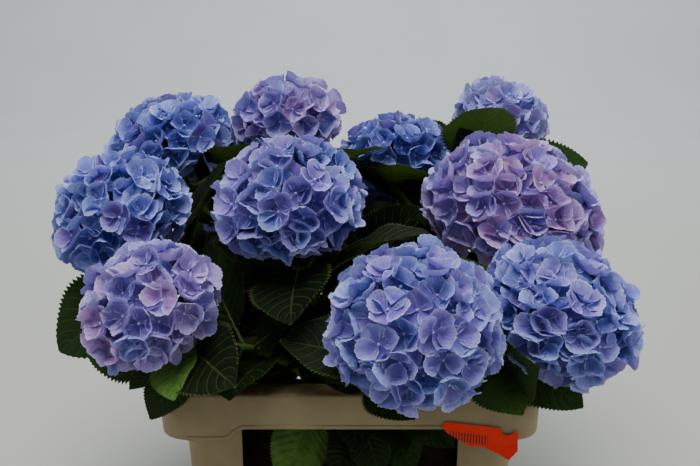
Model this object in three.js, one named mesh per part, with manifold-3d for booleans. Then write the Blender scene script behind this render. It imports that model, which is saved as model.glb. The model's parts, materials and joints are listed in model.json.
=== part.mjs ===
// Mophead hydrangea shrub in its pot: a cream moulded crate with windows in its sides, a black
// growing tub inside it, soil, a woody stool and thirteen shoots. Each shoot is a bare cane, a leafy
// stem with opposite pairs of leaves, and one domed bloom of four-petalled florets.
// Millimetres, +Z up. The origin is the middle of the crate's flat underside, and -Y is the front.

import * as THREE from "three";
import { mergeVertices } from "three/addons/utils/BufferGeometryUtils.js";
import Module from "manifold-3d";

const wasm = await Module();
wasm.setup();

// The crate: a drafted tub with a ledge and a hanging skirt round its top.
const CRATE = {
  length: 420,
  depth: 300,
  height: 260,
  overhang: 22,
  draft: 14,
  wall: 4,
  floor: 5,
  ledge: 5,
  skirtDrop: 57,
  skirtDraft: 2,
  rimCorner: 34,
  bodyCorner: 28,
  topRound: 5,
  topEase: 1.5,
};

const CORNERS = [
  ["front_left", -1, -1],
  ["front_right", 1, -1],
  ["back_left", -1, 1],
  ["back_right", 1, 1],
];

// The windows in its four sides, and the notch that each makes in the skirt.
const WINDOW = {
  frontLength: 240,
  sideLength: 150,
  bottom: 122,
  top: 234,
  corner: 15,
  sillCorner: 5,
  notchTop: 217,
  notchSlope: 11,
};

// The black growing tub that stands in the crate, and its soil.
const TUB = {
  length: 308,
  depth: 208,
  height: 112,
  draft: 10,
  wall: 3,
  floor: 3,
  corner: 22,
  lip: 5,
  lipHeight: 7,
};
const SOIL = {
  top: 104,
  crown: 6,
  gap: 0.4,
  rings: [[0, 1], [0.7, 0.7], [1, 0.4]], // rise as a share of the crown, and size against the tub
};
const SEAT_GAP = 0.3;

// The woody stool that the canes grow from, standing on the soil.
const STOOL = {
  height: 34,
  levels: [[0, 43], [0.22, 38], [0.5, 34], [0.8, 35], [1, 25]], // share of the height, and radius
  knobbly: 0.12,
  lean: 2,
  sides: 14,
};

// The shoots: the bloom's centre, its radius, its dome's height as a share of the radius, and the
// turn in degrees of the top leaf pair round the stem, from the right. Spread opens the leaves out
// from the stem and roll tips their faces, both in degrees. No tip is farther out than the reach.
const SHOOTS = [
  {
    name: "front_left",
    bloom: [-210, -140, 356],
    radius: 78,
    rise: 0.8,
    turn: 5,
    spread: -2,
    roll: 15,
    reach: 330,
  },
  {
    name: "front_middle",
    bloom: [63, -208, 359],
    radius: 90,
    rise: 0.95,
    turn: 115,
    spread: 4,
    roll: 15,
    reach: 250,
  },
  {
    name: "front_right",
    bloom: [222, -135, 348],
    radius: 91,
    rise: 0.7,
    turn: 118,
    spread: -4,
    roll: 10,
    reach: 335,
  },
  {
    name: "left",
    bloom: [-263, 5, 409],
    radius: 84,
    rise: 0.9,
    turn: 90,
    spread: -8,
    roll: 10,
    reach: 345,
  },
  {
    name: "centre",
    bloom: [-67, -45, 439],
    radius: 85,
    rise: 0.9,
    turn: 90,
    spread: -6,
    roll: 0,
    reach: 250,
  },
  {
    name: "right",
    bloom: [195, 52, 399],
    radius: 112,
    rise: 0.8,
    turn: 90,
    spread: -4,
    roll: 0,
    reach: 330,
  },
  {
    name: "back_left",
    bloom: [-228, 165, 454],
    radius: 86,
    rise: 0.74,
    turn: 90,
    spread: 0,
    roll: 0,
    reach: 345,
  },
  {
    name: "back_middle",
    bloom: [-83, 178, 485],
    radius: 73,
    rise: 0.8,
    turn: 90,
    spread: 6,
    roll: 0,
    reach: 300,
  },
  {
    name: "back_inner",
    bloom: [66, 190, 435],
    radius: 76,
    rise: 0.72,
    turn: 90,
    spread: 0,
    roll: 0,
    reach: 300,
  },
  {
    name: "back_right",
    bloom: [201, 228, 476],
    radius: 66,
    rise: 0.8,
    turn: 0,
    spread: 16,
    roll: 0,
    reach: 370,
  },
  {
    name: "rear_left",
    bloom: [-150, 250, 350],
    radius: 74,
    rise: 0.75,
    turn: 90,
    spread: 0,
    roll: 0,
    reach: 340,
  },
  {
    name: "rear_middle",
    bloom: [6, 272, 346],
    radius: 74,
    rise: 0.75,
    turn: 90,
    spread: 0,
    roll: 0,
    reach: 330,
  },
  {
    name: "rear_right",
    bloom: [162, 262, 340],
    radius: 74,
    rise: 0.75,
    turn: 90,
    spread: 0,
    roll: 0,
    reach: 340,
  },
];

// Every bloom faces away from this point, under the pot.
const FOCUS = new THREE.Vector3(0, 0, -100);

const BLOOM = {
  under: 0.72, // depth below the equator, as a share of the radius
  neck: 0.62, // where the leafy stem ends, below the centre
  core: 0.8, // the core's size against the floret layer's
  layer: 0.93, // the floret layer's size against the bloom's radius
  florets: 18,
  lowest: 128, // degrees from the top of the dome to the last floret
  tip: 0.295, // a floret's petal reach, as a share of the radius
  notch: 0.17, // its reach between two petals
  sunk: 0.02, // how far the notches, its eye and its spike lie below the petals' tips
  cup: 0.07,
  spike: 0.26,
  touching: 6, // blooms nearer than this press on each other and are cut to a gap
  pressGap: 1,
  cutBlock: 400,
};

const STEM = {
  base: 5, // radius at the root, where the leaves begin, and at the bloom
  split: 4.2,
  tip: 3.4,
  sides: 5,
  step: 32,
  mouth: 310, // the height that a stem aims at on its way out of the pot
  lean: 0.07,
  arch: 0.12,
  bare: 125, // the least length of cane under the lowest leaf pair
  below: 12, // the leafy stem's length under its lowest leaf pair
};

// Where the canes leave the stool: the low outer shoots stand round the high inner ones.
const ROOT = { inner: 10, outer: 26, spacing: 11.5, rounds: 40, top: 0.85, fall: 0.5 };

// Leaf pairs down the stem from the bloom: distance, blade length, and angle from the stem.
const PAIRS = [
  { below: 22, length: 118, angle: 82 },
  { below: 52, length: 142, angle: 60 },
  { below: 94, length: 138, angle: 62 },
  { below: 140, length: 124, angle: 60 },
  { below: 190, length: 112, angle: 62 },
  { below: 240, length: 100, angle: 64 },
];

const LEAF = {
  width: 0.76, // width against length
  root: 2.5, // how far the stalk starts inside its stem
  petiole: 26,
  petioleHalf: 2.2,
  stations: [0, 0.2, 0.5, 0.8],
  thick: 1.9,
  fold: 0.2,
  droop: 30,
  flattest: -0.15, // the least rise of a leaf's stalk, as a share of its length
  skyward: 0.4, // how far a blade turns from its stem's direction towards the sky
  hang: 14, // how far a tip may hang below the pot's rim
  jitter: 9, // degrees of chance in its turn and angle, and that many times more in its roll
  rollJitter: 2,
  lengthSpread: 0.05,
  droopSpread: 0.3,
  margin: 0.9, // how much a leaf is grown all round when it is tested for room
};

// What a leaf tries in turn where it would touch something: turn, angle and share of its length.
const TRIES = [
  [0, 0, 1],
  [0, 10, 1],
  [14, 4, 1],
  [-14, 4, 1],
  [0, -14, 0.96],
  [0, 0, 0.82],
  [28, 0, 0.94],
  [-28, 0, 0.94],
  [0, 22, 0.92],
  [40, 10, 0.88],
  [-40, 10, 0.88],
  [0, -26, 0.86],
  [22, 24, 0.82],
  [-22, 24, 0.82],
];

// The leaves that stand out most: shoot, pair and half, where the tip reaches, and the way the
// blade faces. They grow before all others.
const KNOWN_LEAVES = [
  { shoot: "left", pair: 0, half: 1, tip: [-344, -20, 251], facing: [0.4, -0.7, 0.6] },
  { shoot: "front_left", pair: 1, half: 1, tip: [-298, -75, 276], facing: [0, -0.7, 0.7] },
  { shoot: "front_left", pair: 0, half: 1, tip: [-177, -215, 285], facing: [-0.4, -0.7, 0.6] },
  { shoot: "front_left", pair: 2, half: 1, tip: [-166, -10, 383], facing: [-0.6, -0.5, 0.6] },
  { shoot: "front_left", pair: 3, half: 0, tip: [-124, -190, 272], facing: [-0.4, -0.7, 0.6] },
  { shoot: "front_middle", pair: 1, half: 0, tip: [-54, -40, 301], facing: [-0.3, -0.9, 0.3] },
  { shoot: "front_middle", pair: 2, half: 0, tip: [66, -215, 264], facing: [-0.4, -0.7, 0.6] },
  { shoot: "front_right", pair: 1, half: 0, tip: [248, -160, 249], facing: [0.2, -0.8, 0.6] },
  { shoot: "front_right", pair: 1, half: 1, tip: [174, -220, 271], facing: [-0.4, -0.7, 0.6] },
  { shoot: "back_left", pair: 2, half: 0, tip: [-220, 240, 398], facing: [0, -0.3, 0.95] },
  { shoot: "back_inner", pair: 3, half: 0, tip: [81, 20, 418], facing: [-0.4, -0.7, 0.6] },
  { shoot: "back_right", pair: 1, half: 0, tip: [311, 180, 430], facing: [0, -1, 0] },
  { shoot: "back_right", pair: 1, half: 1, tip: [168, 90, 522], facing: [0, -0.3, 0.95] },
];

const COLOUR = {
  cream: 0xc9c2ae,
  black: 0x1c1c1b,
  soil: 0x2c2119,
  wood: 0x6d5c43,
  cane: 0x5c7a3c,
  leaf: 0x2f5a24,
};
const BLOOM_COLOUR = {
  front_left: 0xa08bd0,
  front_middle: 0x8f9be0,
  front_right: 0x8c93dd,
  left: 0x7a8bdb,
  centre: 0x8389d6,
  right: 0xab92cf,
  back_left: 0x6e87d8,
  back_middle: 0xa192cd,
  back_inner: 0x6480dc,
  back_right: 0x9a9ddc,
  rear_left: 0x8389d6,
  rear_middle: 0x9a8fd3,
  rear_right: 0x7a8bdb,
};

const radians = THREE.MathUtils.degToRad;
const vec = (x, y, z) => new THREE.Vector3(x, y, z);
const along = (point, direction, distance) => point.clone().addScaledVector(direction, distance);

// A repeatable number from 0 to 1 for three whole numbers.
function chance(a, b, c) {
  let h = (a * 374761393 + b * 668265263 + c * 2246822519) >>> 0;
  h = Math.imul(h ^ (h >>> 13), 1274126177) >>> 0;
  h = Math.imul(h ^ (h >>> 15), 2246822519) >>> 0;
  return ((h ^ (h >>> 16)) >>> 0) / 4294967296;
}

// Closed geometry from corner points and triangles.
function geometryOf(points, triangles) {
  const made = new THREE.BufferGeometry();
  const numbers = points.flatMap((p) => [p.x, p.y, p.z]);
  made.setAttribute("position", new THREE.Float32BufferAttribute(numbers, 3));
  made.setIndex(triangles.flat());
  return made;
}

// A closed geometry as a solid that can be joined and cut.
function solidOf(geometry) {
  const bare = geometry.clone();
  bare.deleteAttribute("normal");
  bare.deleteAttribute("uv");
  const merged = mergeVertices(bare, 1e-4);
  const vertProperties = new Float32Array(merged.attributes.position.array);
  const triVerts = new Uint32Array(merged.index.array);
  return new wasm.Manifold(new wasm.Mesh({ numProp: 3, vertProperties, triVerts }));
}

function geometryOfSolid(solid) {
  const mesh = solid.getMesh();
  const points = [];
  for (let i = 0; i < mesh.numVert; i++) {
    const at = i * mesh.numProp;
    points.push(mesh.vertProperties[at], mesh.vertProperties[at + 1], mesh.vertProperties[at + 2]);
  }
  const made = new THREE.BufferGeometry();
  made.setAttribute("position", new THREE.Float32BufferAttribute(points, 3));
  made.setIndex(new THREE.BufferAttribute(new Uint32Array(mesh.triVerts), 1));
  return made.toNonIndexed();
}

const joined = (solids) => solids.reduce((whole, piece) => whole.add(piece));

// The corner points of a rectangle with rounded corners, counter-clockwise from above.
const ARC_STEPS = 4;
function roundedOutline(halfX, halfY, corner, z) {
  const points = [];
  const centres = [[1, 1], [-1, 1], [-1, -1], [1, -1]];
  centres.forEach(([sx, sy], quarter) => {
    for (let i = 0; i <= ARC_STEPS; i++) {
      const angle = (quarter + i / ARC_STEPS) * (Math.PI / 2);
      const x = sx * (halfX - corner) + corner * Math.cos(angle);
      points.push(vec(x, sy * (halfY - corner) + corner * Math.sin(angle), z));
    }
  });
  return points;
}

// A solid skinned over rings of equal point counts, from the lowest to the highest.
function skinned(rings) {
  const count = rings[0].length;
  const middleOf = (ring) => ring.reduce((sum, p) => sum.add(p), vec(0, 0, 0)).divideScalar(count);
  const points = [...rings.flat(), middleOf(rings[0]), middleOf(rings[rings.length - 1])];
  const bottom = points.length - 2;
  const triangles = [];
  for (let ring = 0; ring < rings.length - 1; ring++) {
    for (let i = 0; i < count; i++) {
      const a = ring * count + i;
      const b = ring * count + ((i + 1) % count);
      triangles.push([a, b, b + count], [a, b + count, a + count]);
    }
  }
  const top = (rings.length - 1) * count;
  for (let i = 0; i < count; i++) {
    const next = (i + 1) % count;
    triangles.push([bottom, next, i], [bottom + 1, top + i, top + next]);
  }
  return geometryOf(points, triangles);
}

// A block with rounded upright edges whose half sizes change evenly from its foot to its top.
function draftedBlock(footX, footY, topX, topY, corner, low, high) {
  const foot = roundedOutline(footX, footY, corner, low);
  const top = roundedOutline(topX, topY, corner, high);
  return solidOf(skinned([foot, top]));
}

// A flat outline pushed along Y, or along X when turned, right through the crate.
function throughCut(outline, reach, turned) {
  const options = { depth: 2 * reach, bevelEnabled: false, curveSegments: ARC_STEPS };
  const made = new THREE.ExtrudeGeometry(outline, options);
  made.translate(0, 0, -reach);
  made.rotateX(Math.PI / 2);
  if (turned) made.rotateZ(Math.PI / 2);
  return solidOf(made);
}

function windowOutline(length) {
  const { bottom, top, corner, sillCorner } = WINDOW;
  const half = length / 2;
  const shape = new THREE.Shape();
  shape.moveTo(-half + sillCorner, bottom);
  shape.lineTo(half - sillCorner, bottom);
  shape.absarc(half - sillCorner, bottom + sillCorner, sillCorner, -Math.PI / 2, 0, false);
  shape.lineTo(half, top - corner);
  shape.absarc(half - corner, top - corner, corner, 0, Math.PI / 2, false);
  shape.lineTo(-half + corner, top);
  shape.absarc(-half + corner, top - corner, corner, Math.PI / 2, Math.PI, false);
  shape.lineTo(-half, bottom + sillCorner);
  shape.absarc(-half + sillCorner, bottom + sillCorner, sillCorner, Math.PI, 1.5 * Math.PI, false);
  return shape;
}

function notchOutline(length) {
  const half = length / 2;
  const low = CRATE.height - CRATE.skirtDrop - 1;
  const shape = new THREE.Shape();
  shape.moveTo(-half - WINDOW.notchSlope, low);
  shape.lineTo(half + WINDOW.notchSlope, low);
  shape.lineTo(half, WINDOW.notchTop);
  shape.lineTo(-half, WINDOW.notchTop);
  return shape;
}

// Half sizes of the crate's outer wall at a height.
function bodyHalf(z) {
  const inset = CRATE.overhang + CRATE.draft * (1 - z / CRATE.height);
  return [CRATE.length / 2 - inset, CRATE.depth / 2 - inset];
}

// The crate's walls and floor, and the skirt that hangs round its top.
function makeCrate() {
  const { length, depth, height, wall, floor, ledge, skirtDrop, skirtDraft } = CRATE;
  const { rimCorner, bodyCorner, topRound, topEase } = CRATE;
  const [footX, footY] = bodyHalf(0);
  const [topX, topY] = bodyHalf(height);
  const rimX = length / 2;
  const rimY = depth / 2;
  const skirtFoot = height - skirtDrop;
  const body = draftedBlock(footX, footY, topX, topY, bodyCorner, 0, height);
  const rim = solidOf(
    skinned([
      roundedOutline(rimX - skirtDraft, rimY - skirtDraft, rimCorner - skirtDraft, skirtFoot),
      roundedOutline(rimX, rimY, rimCorner, height - topRound),
      roundedOutline(rimX - topEase, rimY - topEase, rimCorner, height - topEase),
      roundedOutline(rimX - topRound, rimY - topRound, rimCorner - topRound, height),
    ]),
  );
  const underSkirt = draftedBlock(
    rimX - skirtDraft - wall, rimY - skirtDraft - wall, rimX - wall, rimY - wall,
    rimCorner - wall, skirtFoot - 1, height - ledge,
  );
  const hollow = draftedBlock(
    footX - wall, footY - wall, topX - wall, topY - wall, bodyCorner - wall, floor, height + 1,
  );
  const frontNotch = throughCut(notchOutline(WINDOW.frontLength), depth, false);
  const sideNotch = throughCut(notchOutline(WINDOW.sideLength), length, true);
  const skirt = rim.subtract(underSkirt).subtract(frontNotch).subtract(sideNotch).subtract(hollow);
  const frontWindow = throughCut(windowOutline(WINDOW.frontLength), bodyHalf(height)[1] + 2, false);
  const sideWindow = throughCut(windowOutline(WINDOW.sideLength), bodyHalf(height)[0] + 2, true);
  return { body: body.subtract(frontWindow).subtract(sideWindow).subtract(hollow), skirt };
}

// The crate is one moulding, parted here level with the sills and the heads of its windows: a
// base, a band round the top, and at each corner a post and the skirt's end in front of it.
function crateParts({ body, skirt }) {
  const { length, depth, height } = CRATE;
  const slab = (shares, low, high) => {
    const block = new THREE.BoxGeometry(2 * length, 2 * depth, high - low);
    return solidOf(block.translate(shares[0] * length, shares[1] * depth, (low + high) / 2));
  };
  const sill = WINDOW.bottom;
  const head = WINDOW.notchTop - SEAT_GAP / 2;
  const parts = [
    ["crate_base", body.intersect(slab([0, 0], -1, sill - SEAT_GAP / 2))],
    ["crate_band", body.add(skirt).intersect(slab([0, 0], head + SEAT_GAP, height + 1))],
  ];
  for (const [name, ...quarter] of CORNERS) {
    parts.push([`crate_post_${name}`, body.intersect(slab(quarter, sill + SEAT_GAP / 2, head))]);
    parts.push([`crate_skirt_${name}`, skirt.intersect(slab(quarter, 0, head))]);
  }
  return parts;
}

function makeTub() {
  const { length, depth, height, draft, wall, floor, corner, lip, lipHeight } = TUB;
  const low = CRATE.floor + SEAT_GAP;
  const high = low + height;
  const [x, y] = [length / 2, depth / 2];
  const outside = draftedBlock(x - draft, y - draft, x, y, corner, low, high);
  const band = draftedBlock(x + lip, y + lip, x + lip, y + lip, corner + lip, high - lipHeight, high);
  const hollow = draftedBlock(
    x - draft - wall, y - draft - wall, x - wall, y - wall, corner - wall, low + floor, high + 0.01,
  );
  return outside.add(band).subtract(hollow);
}

// Soil that fills the tub to a low crown in its middle.
function makeSoil() {
  const low = CRATE.floor + SEAT_GAP + TUB.floor + SOIL.gap;
  const ring = (z, share) => {
    const inset = TUB.wall + SOIL.gap + TUB.draft * (1 - (z - CRATE.floor) / TUB.height);
    const x = (TUB.length / 2 - inset) * share;
    const y = (TUB.depth / 2 - inset) * share;
    return roundedOutline(x, y, (TUB.corner - TUB.wall) * share, z);
  };
  const edge = SOIL.top - SOIL.crown;
  const crown = SOIL.rings.map(([rise, share]) => ring(edge + SOIL.crown * rise, share));
  return solidOf(skinned([ring(low, 1), ...crown]));
}

// The woody stool: a flared foot, a waist and a knobby shoulder.
function stoolRings(grow = 0) {
  const { height, levels, knobbly, lean, sides } = STOOL;
  return levels.map(([share, radius], level) => {
    const outward = share === 0 ? -grow : share === 1 ? grow : 0;
    const z = SOIL.top + SEAT_GAP + share * height + outward;
    const ring = [];
    for (let i = 0; i < sides; i++) {
      const angle = (i / sides) * 2 * Math.PI;
      const r = radius * (1 + knobbly * (chance(7, level, i) - 0.5)) + grow;
      ring.push(vec(lean * share + r * Math.cos(angle), r * Math.sin(angle), z));
    }
    return ring;
  });
}

// Each shoot's bloom axis, the two directions that leaf turns count from, and its neck.
function planShoot(shoot, index) {
  const centre = vec(...shoot.bloom);
  const axis = centre.clone().sub(FOCUS).normalize();
  const side = vec(0, 0, 1).cross(axis).normalize();
  return { ...shoot, index, centre, axis, side, neck: along(centre, axis, -BLOOM.neck * shoot.radius) };
}

// Spreads the canes' roots over the stool's shoulder, each on its own side, pushed apart to a spacing.
function placeRoots(plans) {
  const heights = plans.map((plan) => plan.neck.z);
  const lowest = Math.min(...heights);
  const range = Math.max(...heights) - lowest;
  const roots = plans.map(({ neck }) => {
    const radius = ROOT.outer - ((ROOT.outer - ROOT.inner) * (neck.z - lowest)) / range;
    return vec(neck.x, neck.y, 0).setLength(radius);
  });
  for (let round = 0; round < ROOT.rounds; round++) {
    for (let i = 0; i < roots.length; i++) {
      for (let j = i + 1; j < roots.length; j++) {
        const apart = roots[j].clone().sub(roots[i]);
        const push = (ROOT.spacing - apart.length()) / 2;
        if (push <= 0) continue;
        apart.setLength(push);
        roots[i].sub(apart);
        roots[j].add(apart);
      }
    }
  }
  return roots;
}

// The stem's curve from its root, up through the pot's mouth and out to the neck of the bloom.
function routeStem(plan, root) {
  root.z = SOIL.top + STOOL.height * (ROOT.top - (ROOT.fall * root.length()) / ROOT.outer);
  const span = plan.neck.distanceTo(root);
  const outward = vec(plan.neck.x, plan.neck.y, 0).normalize();
  const above = along(root, outward, STEM.lean * span).setZ(STEM.mouth);
  const under = along(plan.neck, plan.axis, -STEM.arch * span);
  plan.curve = new THREE.CubicBezierCurve3(root, above, under, plan.neck);
  plan.length = plan.curve.getLength();
  plan.pairs = PAIRS.filter((pair) => pair.below < plan.length - STEM.bare);
  plan.split = 1 - (plan.pairs[plan.pairs.length - 1].below + STEM.below) / plan.length;
}

// A direction square to a given one: level wherever the given one isn't nearly upright.
function squareTo(direction) {
  const helper = Math.abs(direction.z) < 0.9 ? vec(0, 0, 1) : vec(1, 0, 0);
  return helper.cross(direction).normalize();
}

// A tapering tube along part of a curve, with flat ends.
function taperedTube(curve, from, to, startRadius, endRadius, steps, sides) {
  const rings = [];
  const across = squareTo(curve.getTangentAt(from));
  for (let i = 0; i <= steps; i++) {
    const at = from + ((to - from) * i) / steps;
    const tangent = curve.getTangentAt(at);
    across.addScaledVector(tangent, -across.dot(tangent)).normalize();
    const other = tangent.clone().cross(across);
    const radius = startRadius + ((endRadius - startRadius) * i) / steps;
    const middle = curve.getPointAt(at);
    const ring = [];
    for (let s = 0; s < sides; s++) {
      const angle = (s / sides) * 2 * Math.PI;
      ring.push(along(along(middle, across, radius * Math.cos(angle)), other, radius * Math.sin(angle)));
    }
    rings.push(ring);
  }
  return solidOf(skinned(rings));
}

// How far a bloom reaches from its centre along a unit direction.
function bloomReach(plan, direction) {
  const up = direction.dot(plan.axis);
  const rise = up > 0 ? plan.rise : BLOOM.under;
  return plan.radius * Math.sqrt(1 - up * up + up * up * rise * rise);
}

// A floret: four petals round a sunken eye, on a spike that runs into the core.
function floret(at, axis, spin, radius) {
  const first = squareTo(axis);
  const second = axis.clone().cross(first);
  const points = [along(at, axis, -BLOOM.cup * radius), along(at, axis, -BLOOM.spike * radius)];
  for (let i = 0; i < 8; i++) {
    const angle = spin + (i * Math.PI) / 4;
    const reach = (i % 2 ? BLOOM.notch : BLOOM.tip) * radius;
    const out = along(along(at, first, reach * Math.cos(angle)), second, reach * Math.sin(angle));
    points.push(along(out, axis, i % 2 ? -BLOOM.sunk * radius : 0));
  }
  const triangles = [];
  for (let i = 0; i < 8; i++) {
    const a = 2 + i;
    const b = 2 + ((i + 1) % 8);
    triangles.push([0, a, b], [1, b, a]);
  }
  return solidOf(geometryOf(points, triangles));
}

// A point of the dome at a polar and a turning angle, for a layer at a share of the full size.
function domePoint(plan, polar, turning, share) {
  const up = Math.cos(polar);
  const out = Math.sin(polar) * plan.radius * share;
  const lift = up * plan.radius * share * (up > 0 ? plan.rise : BLOOM.under);
  const second = plan.axis.clone().cross(plan.side);
  const point = along(plan.centre, plan.side, out * Math.cos(turning));
  return along(along(point, second, out * Math.sin(turning)), plan.axis, lift);
}

// The outward direction of the dome there.
function domeNormal(plan, polar, turning) {
  const a = domePoint(plan, polar, turning, 1);
  const b = domePoint(plan, polar + 0.01, turning, 1);
  const c = domePoint(plan, polar, turning + 0.01, 1);
  const normal = b.sub(a).cross(c.sub(a)).normalize();
  return normal.dot(a.sub(plan.centre)) < 0 ? normal.negate() : normal;
}

function bloomCore(plan) {
  const made = mergeVertices(bareSphere());
  const second = plan.axis.clone().cross(plan.side);
  const size = plan.radius * BLOOM.layer * BLOOM.core;
  const at = made.attributes.position;
  for (let i = 0; i < at.count; i++) {
    const [x, y, z] = [at.getX(i), at.getY(i), at.getZ(i)];
    const lift = z * size * (z > 0 ? plan.rise : BLOOM.under);
    const level = along(along(plan.centre, plan.side, x * size), second, y * size);
    at.setXYZ(i, ...along(level, plan.axis, lift).toArray());
  }
  return solidOf(made);
}

function bareSphere() {
  const made = new THREE.IcosahedronGeometry(1, 1);
  made.deleteAttribute("normal");
  made.deleteAttribute("uv");
  return made;
}

// What lies beyond a plane, as a block to cut away.
function beyond(point, normal) {
  const size = BLOOM.cutBlock;
  const block = new THREE.BoxGeometry(size, size, size);
  block.translate(0, 0, size / 2);
  block.applyQuaternion(new THREE.Quaternion().setFromUnitVectors(vec(0, 0, 1), normal));
  block.translate(point.x, point.y, point.z);
  return solidOf(block);
}

// Where two blooms press on each other, each stops short of the plane between them.
function pressedPlanes(plan, plans) {
  const planes = [];
  for (const other of plans) {
    if (other === plan) continue;
    const toOther = other.centre.clone().sub(plan.centre);
    const distance = toOther.length();
    toOther.normalize();
    const mine = bloomReach(plan, toOther);
    const theirs = bloomReach(other, toOther.clone().negate());
    if (mine + theirs < distance - BLOOM.touching) continue;
    const share = (distance * mine) / (mine + theirs) - BLOOM.pressGap / 2;
    planes.push({ point: along(plan.centre, toOther, share), normal: toOther });
  }
  return planes;
}

function makeBloom(plan, plans) {
  const stalk = new THREE.LineCurve3(along(plan.neck, plan.axis, SEAT_GAP), plan.centre);
  const pieces = [bloomCore(plan), taperedTube(stalk, 0, 1, STEM.tip, STEM.tip, 1, STEM.sides)];
  const golden = Math.PI * (3 - Math.sqrt(5));
  const lowest = Math.cos(radians(BLOOM.lowest));
  for (let i = 0; i < BLOOM.florets; i++) {
    const polar = Math.acos(1 - ((i + 0.5) / BLOOM.florets) * (1 - lowest));
    const turning = i * golden;
    const at = domePoint(plan, polar, turning, BLOOM.layer);
    const facing = domeNormal(plan, polar, turning);
    pieces.push(floret(at, facing, chance(plan.index, i, 3) * Math.PI, plan.radius));
  }
  const cuts = pressedPlanes(plan, plans).map(({ point, normal }) => beyond(point, normal));
  return cuts.reduce((bloom, cut) => bloom.subtract(cut), joined(pieces));
}

// Where one leaf grows: its foot, the way it points, the way it faces, and its size.
function leafPlan(plan, pairIndex, half, attempt) {
  const pair = PAIRS[pairIndex];
  const [turnBy, angleBy, lengthShare] = TRIES[attempt];
  const key = 2 * pairIndex + half;
  const wobble = (n) => (2 * chance(plan.index, key, n) - 1) * LEAF.jitter;
  const roll = radians(plan.roll * (half ? -1 : 1) + LEAF.rollJitter * wobble(15));
  const at = 1 - pair.below / plan.length;
  const tangent = plan.curve.getTangentAt(at);
  const side = vec(1, 0, 0).addScaledVector(tangent, -tangent.x).normalize();
  const other = tangent.clone().cross(side);
  const turn = radians(plan.turn + 90 * pairIndex + 180 * half + wobble(11) + turnBy);
  const radial = side.multiplyScalar(Math.cos(turn)).addScaledVector(other, Math.sin(turn));
  const angle = radians(pair.angle + plan.spread + wobble(12) + angleBy);
  const pointing = tangent.clone().multiplyScalar(Math.cos(angle));
  pointing.addScaledVector(radial, Math.sin(angle));
  pointing.setZ(Math.max(pointing.z, LEAF.flattest)).normalize();
  const facing = tangent.clone().lerp(vec(0, 0, 1), LEAF.skyward);
  facing.addScaledVector(pointing, -facing.dot(pointing)).normalize().applyAxisAngle(pointing, roll);
  const spare = (n, spread) => 1 + spread * (2 * chance(plan.index, key, n) - 1);
  const length = pair.length * lengthShare * spare(13, LEAF.lengthSpread);
  const droop = radians(LEAF.droop * spare(14, LEAF.droopSpread));
  return { foot: plan.curve.getPointAt(at), pointing, facing, length, droop };
}

// A leaf whose tip is known: its length and the way it points follow from its distance and droop.
function knownLeaf(plan, { pair, tip, facing }) {
  const foot = plan.curve.getPointAt(1 - PAIRS[pair].below / plan.length);
  const droop = radians(LEAF.droop);
  const along = Math.sin(droop) / droop;
  const down = (1 - Math.cos(droop)) / droop;
  const away = vec(...tip).sub(foot);
  const squares = along * along + down * down;
  const half = LEAF.petiole * along;
  const rest = LEAF.petiole * LEAF.petiole - away.lengthSq();
  const length = (Math.sqrt(half * half - squares * rest) - half) / squares;
  const lift = Math.atan2(down * length, LEAF.petiole + along * length);
  away.normalize();
  const up = vec(...facing);
  up.addScaledVector(away, -up.dot(away)).normalize();
  const pointing = away.clone().multiplyScalar(Math.cos(lift)).addScaledVector(up, Math.sin(lift));
  up.multiplyScalar(Math.cos(lift)).addScaledVector(away, -Math.sin(lift));
  return { foot, pointing, facing: up, length, droop };
}

// A point of the blade: share 0 to 1 from its foot to its tip, across -1 to 1 from edge to edge.
function bladePoint(leaf, share, across, above) {
  const width = Math.max(halfWidth(share) * leaf.length * LEAF.width, LEAF.petioleHalf);
  const bend = leaf.droop * share;
  const start = along(leaf.foot, leaf.pointing, LEAF.petiole);
  const reach = (leaf.length * Math.sin(bend)) / leaf.droop;
  const fall = (leaf.length * (1 - Math.cos(bend))) / leaf.droop;
  const facing = leaf.facing.clone().multiplyScalar(Math.cos(bend));
  facing.addScaledVector(leaf.pointing, Math.sin(bend));
  const sideways = leaf.pointing.clone().cross(leaf.facing);
  const spine = along(along(start, leaf.pointing, reach), leaf.facing, -fall);
  const lift = above + Math.abs(across) * width * LEAF.fold;
  return along(along(spine, sideways, across * width), facing, lift);
}

// Half the blade's width at a share of its length, as a share of its full width.
function halfWidth(share) {
  return 0.5 * Math.pow(Math.sin(Math.PI * Math.pow(Math.min(share, 1), 0.82)), 0.8);
}

// A leaf in one piece: a stalk that starts inside the stem and widens into a folded blade.
function leafSolid(leaf, grow) {
  const thick = LEAF.thick / 2 + grow;
  const tip = along(bladePoint(leaf, 1, 0, 0), leaf.pointing, grow);
  const edge = 1 + (2 * grow) / (leaf.length * LEAF.width);
  const points = [along(leaf.foot, leaf.pointing, -LEAF.root), tip];
  for (const share of LEAF.stations) {
    points.push(bladePoint(leaf, share, -edge, 0), bladePoint(leaf, share, 0, thick));
    points.push(bladePoint(leaf, share, edge, 0), bladePoint(leaf, share, 0, -thick));
  }
  const triangles = [];
  const last = 2 + 4 * (LEAF.stations.length - 1);
  for (let s = 0; s < 4; s++) {
    const next = (s + 1) % 4;
    triangles.push([0, 2 + next, 2 + s], [1, last + s, last + next]);
    for (let row = 2; row < last; row += 4) {
      triangles.push([row + s, row + next, row + 4 + next], [row + s, row + 4 + next, row + 4 + s]);
    }
  }
  return solidOf(geometryOf(points, triangles));
}

// Whether a leaf's tip would leave the crown's outline, hang down past the pot's rim outside it, or
// hang as low as the windows inside it.
function reachesOut(leaf, reach) {
  const tip = bladePoint(leaf, 1, 0, 0);
  const outside = Math.abs(tip.x) > CRATE.length / 2 || Math.abs(tip.y) > CRATE.depth / 2;
  const lowest = outside ? CRATE.height - LEAF.hang : WINDOW.notchTop;
  return Math.hypot(tip.x, tip.y) > reach || tip.z < lowest;
}

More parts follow.
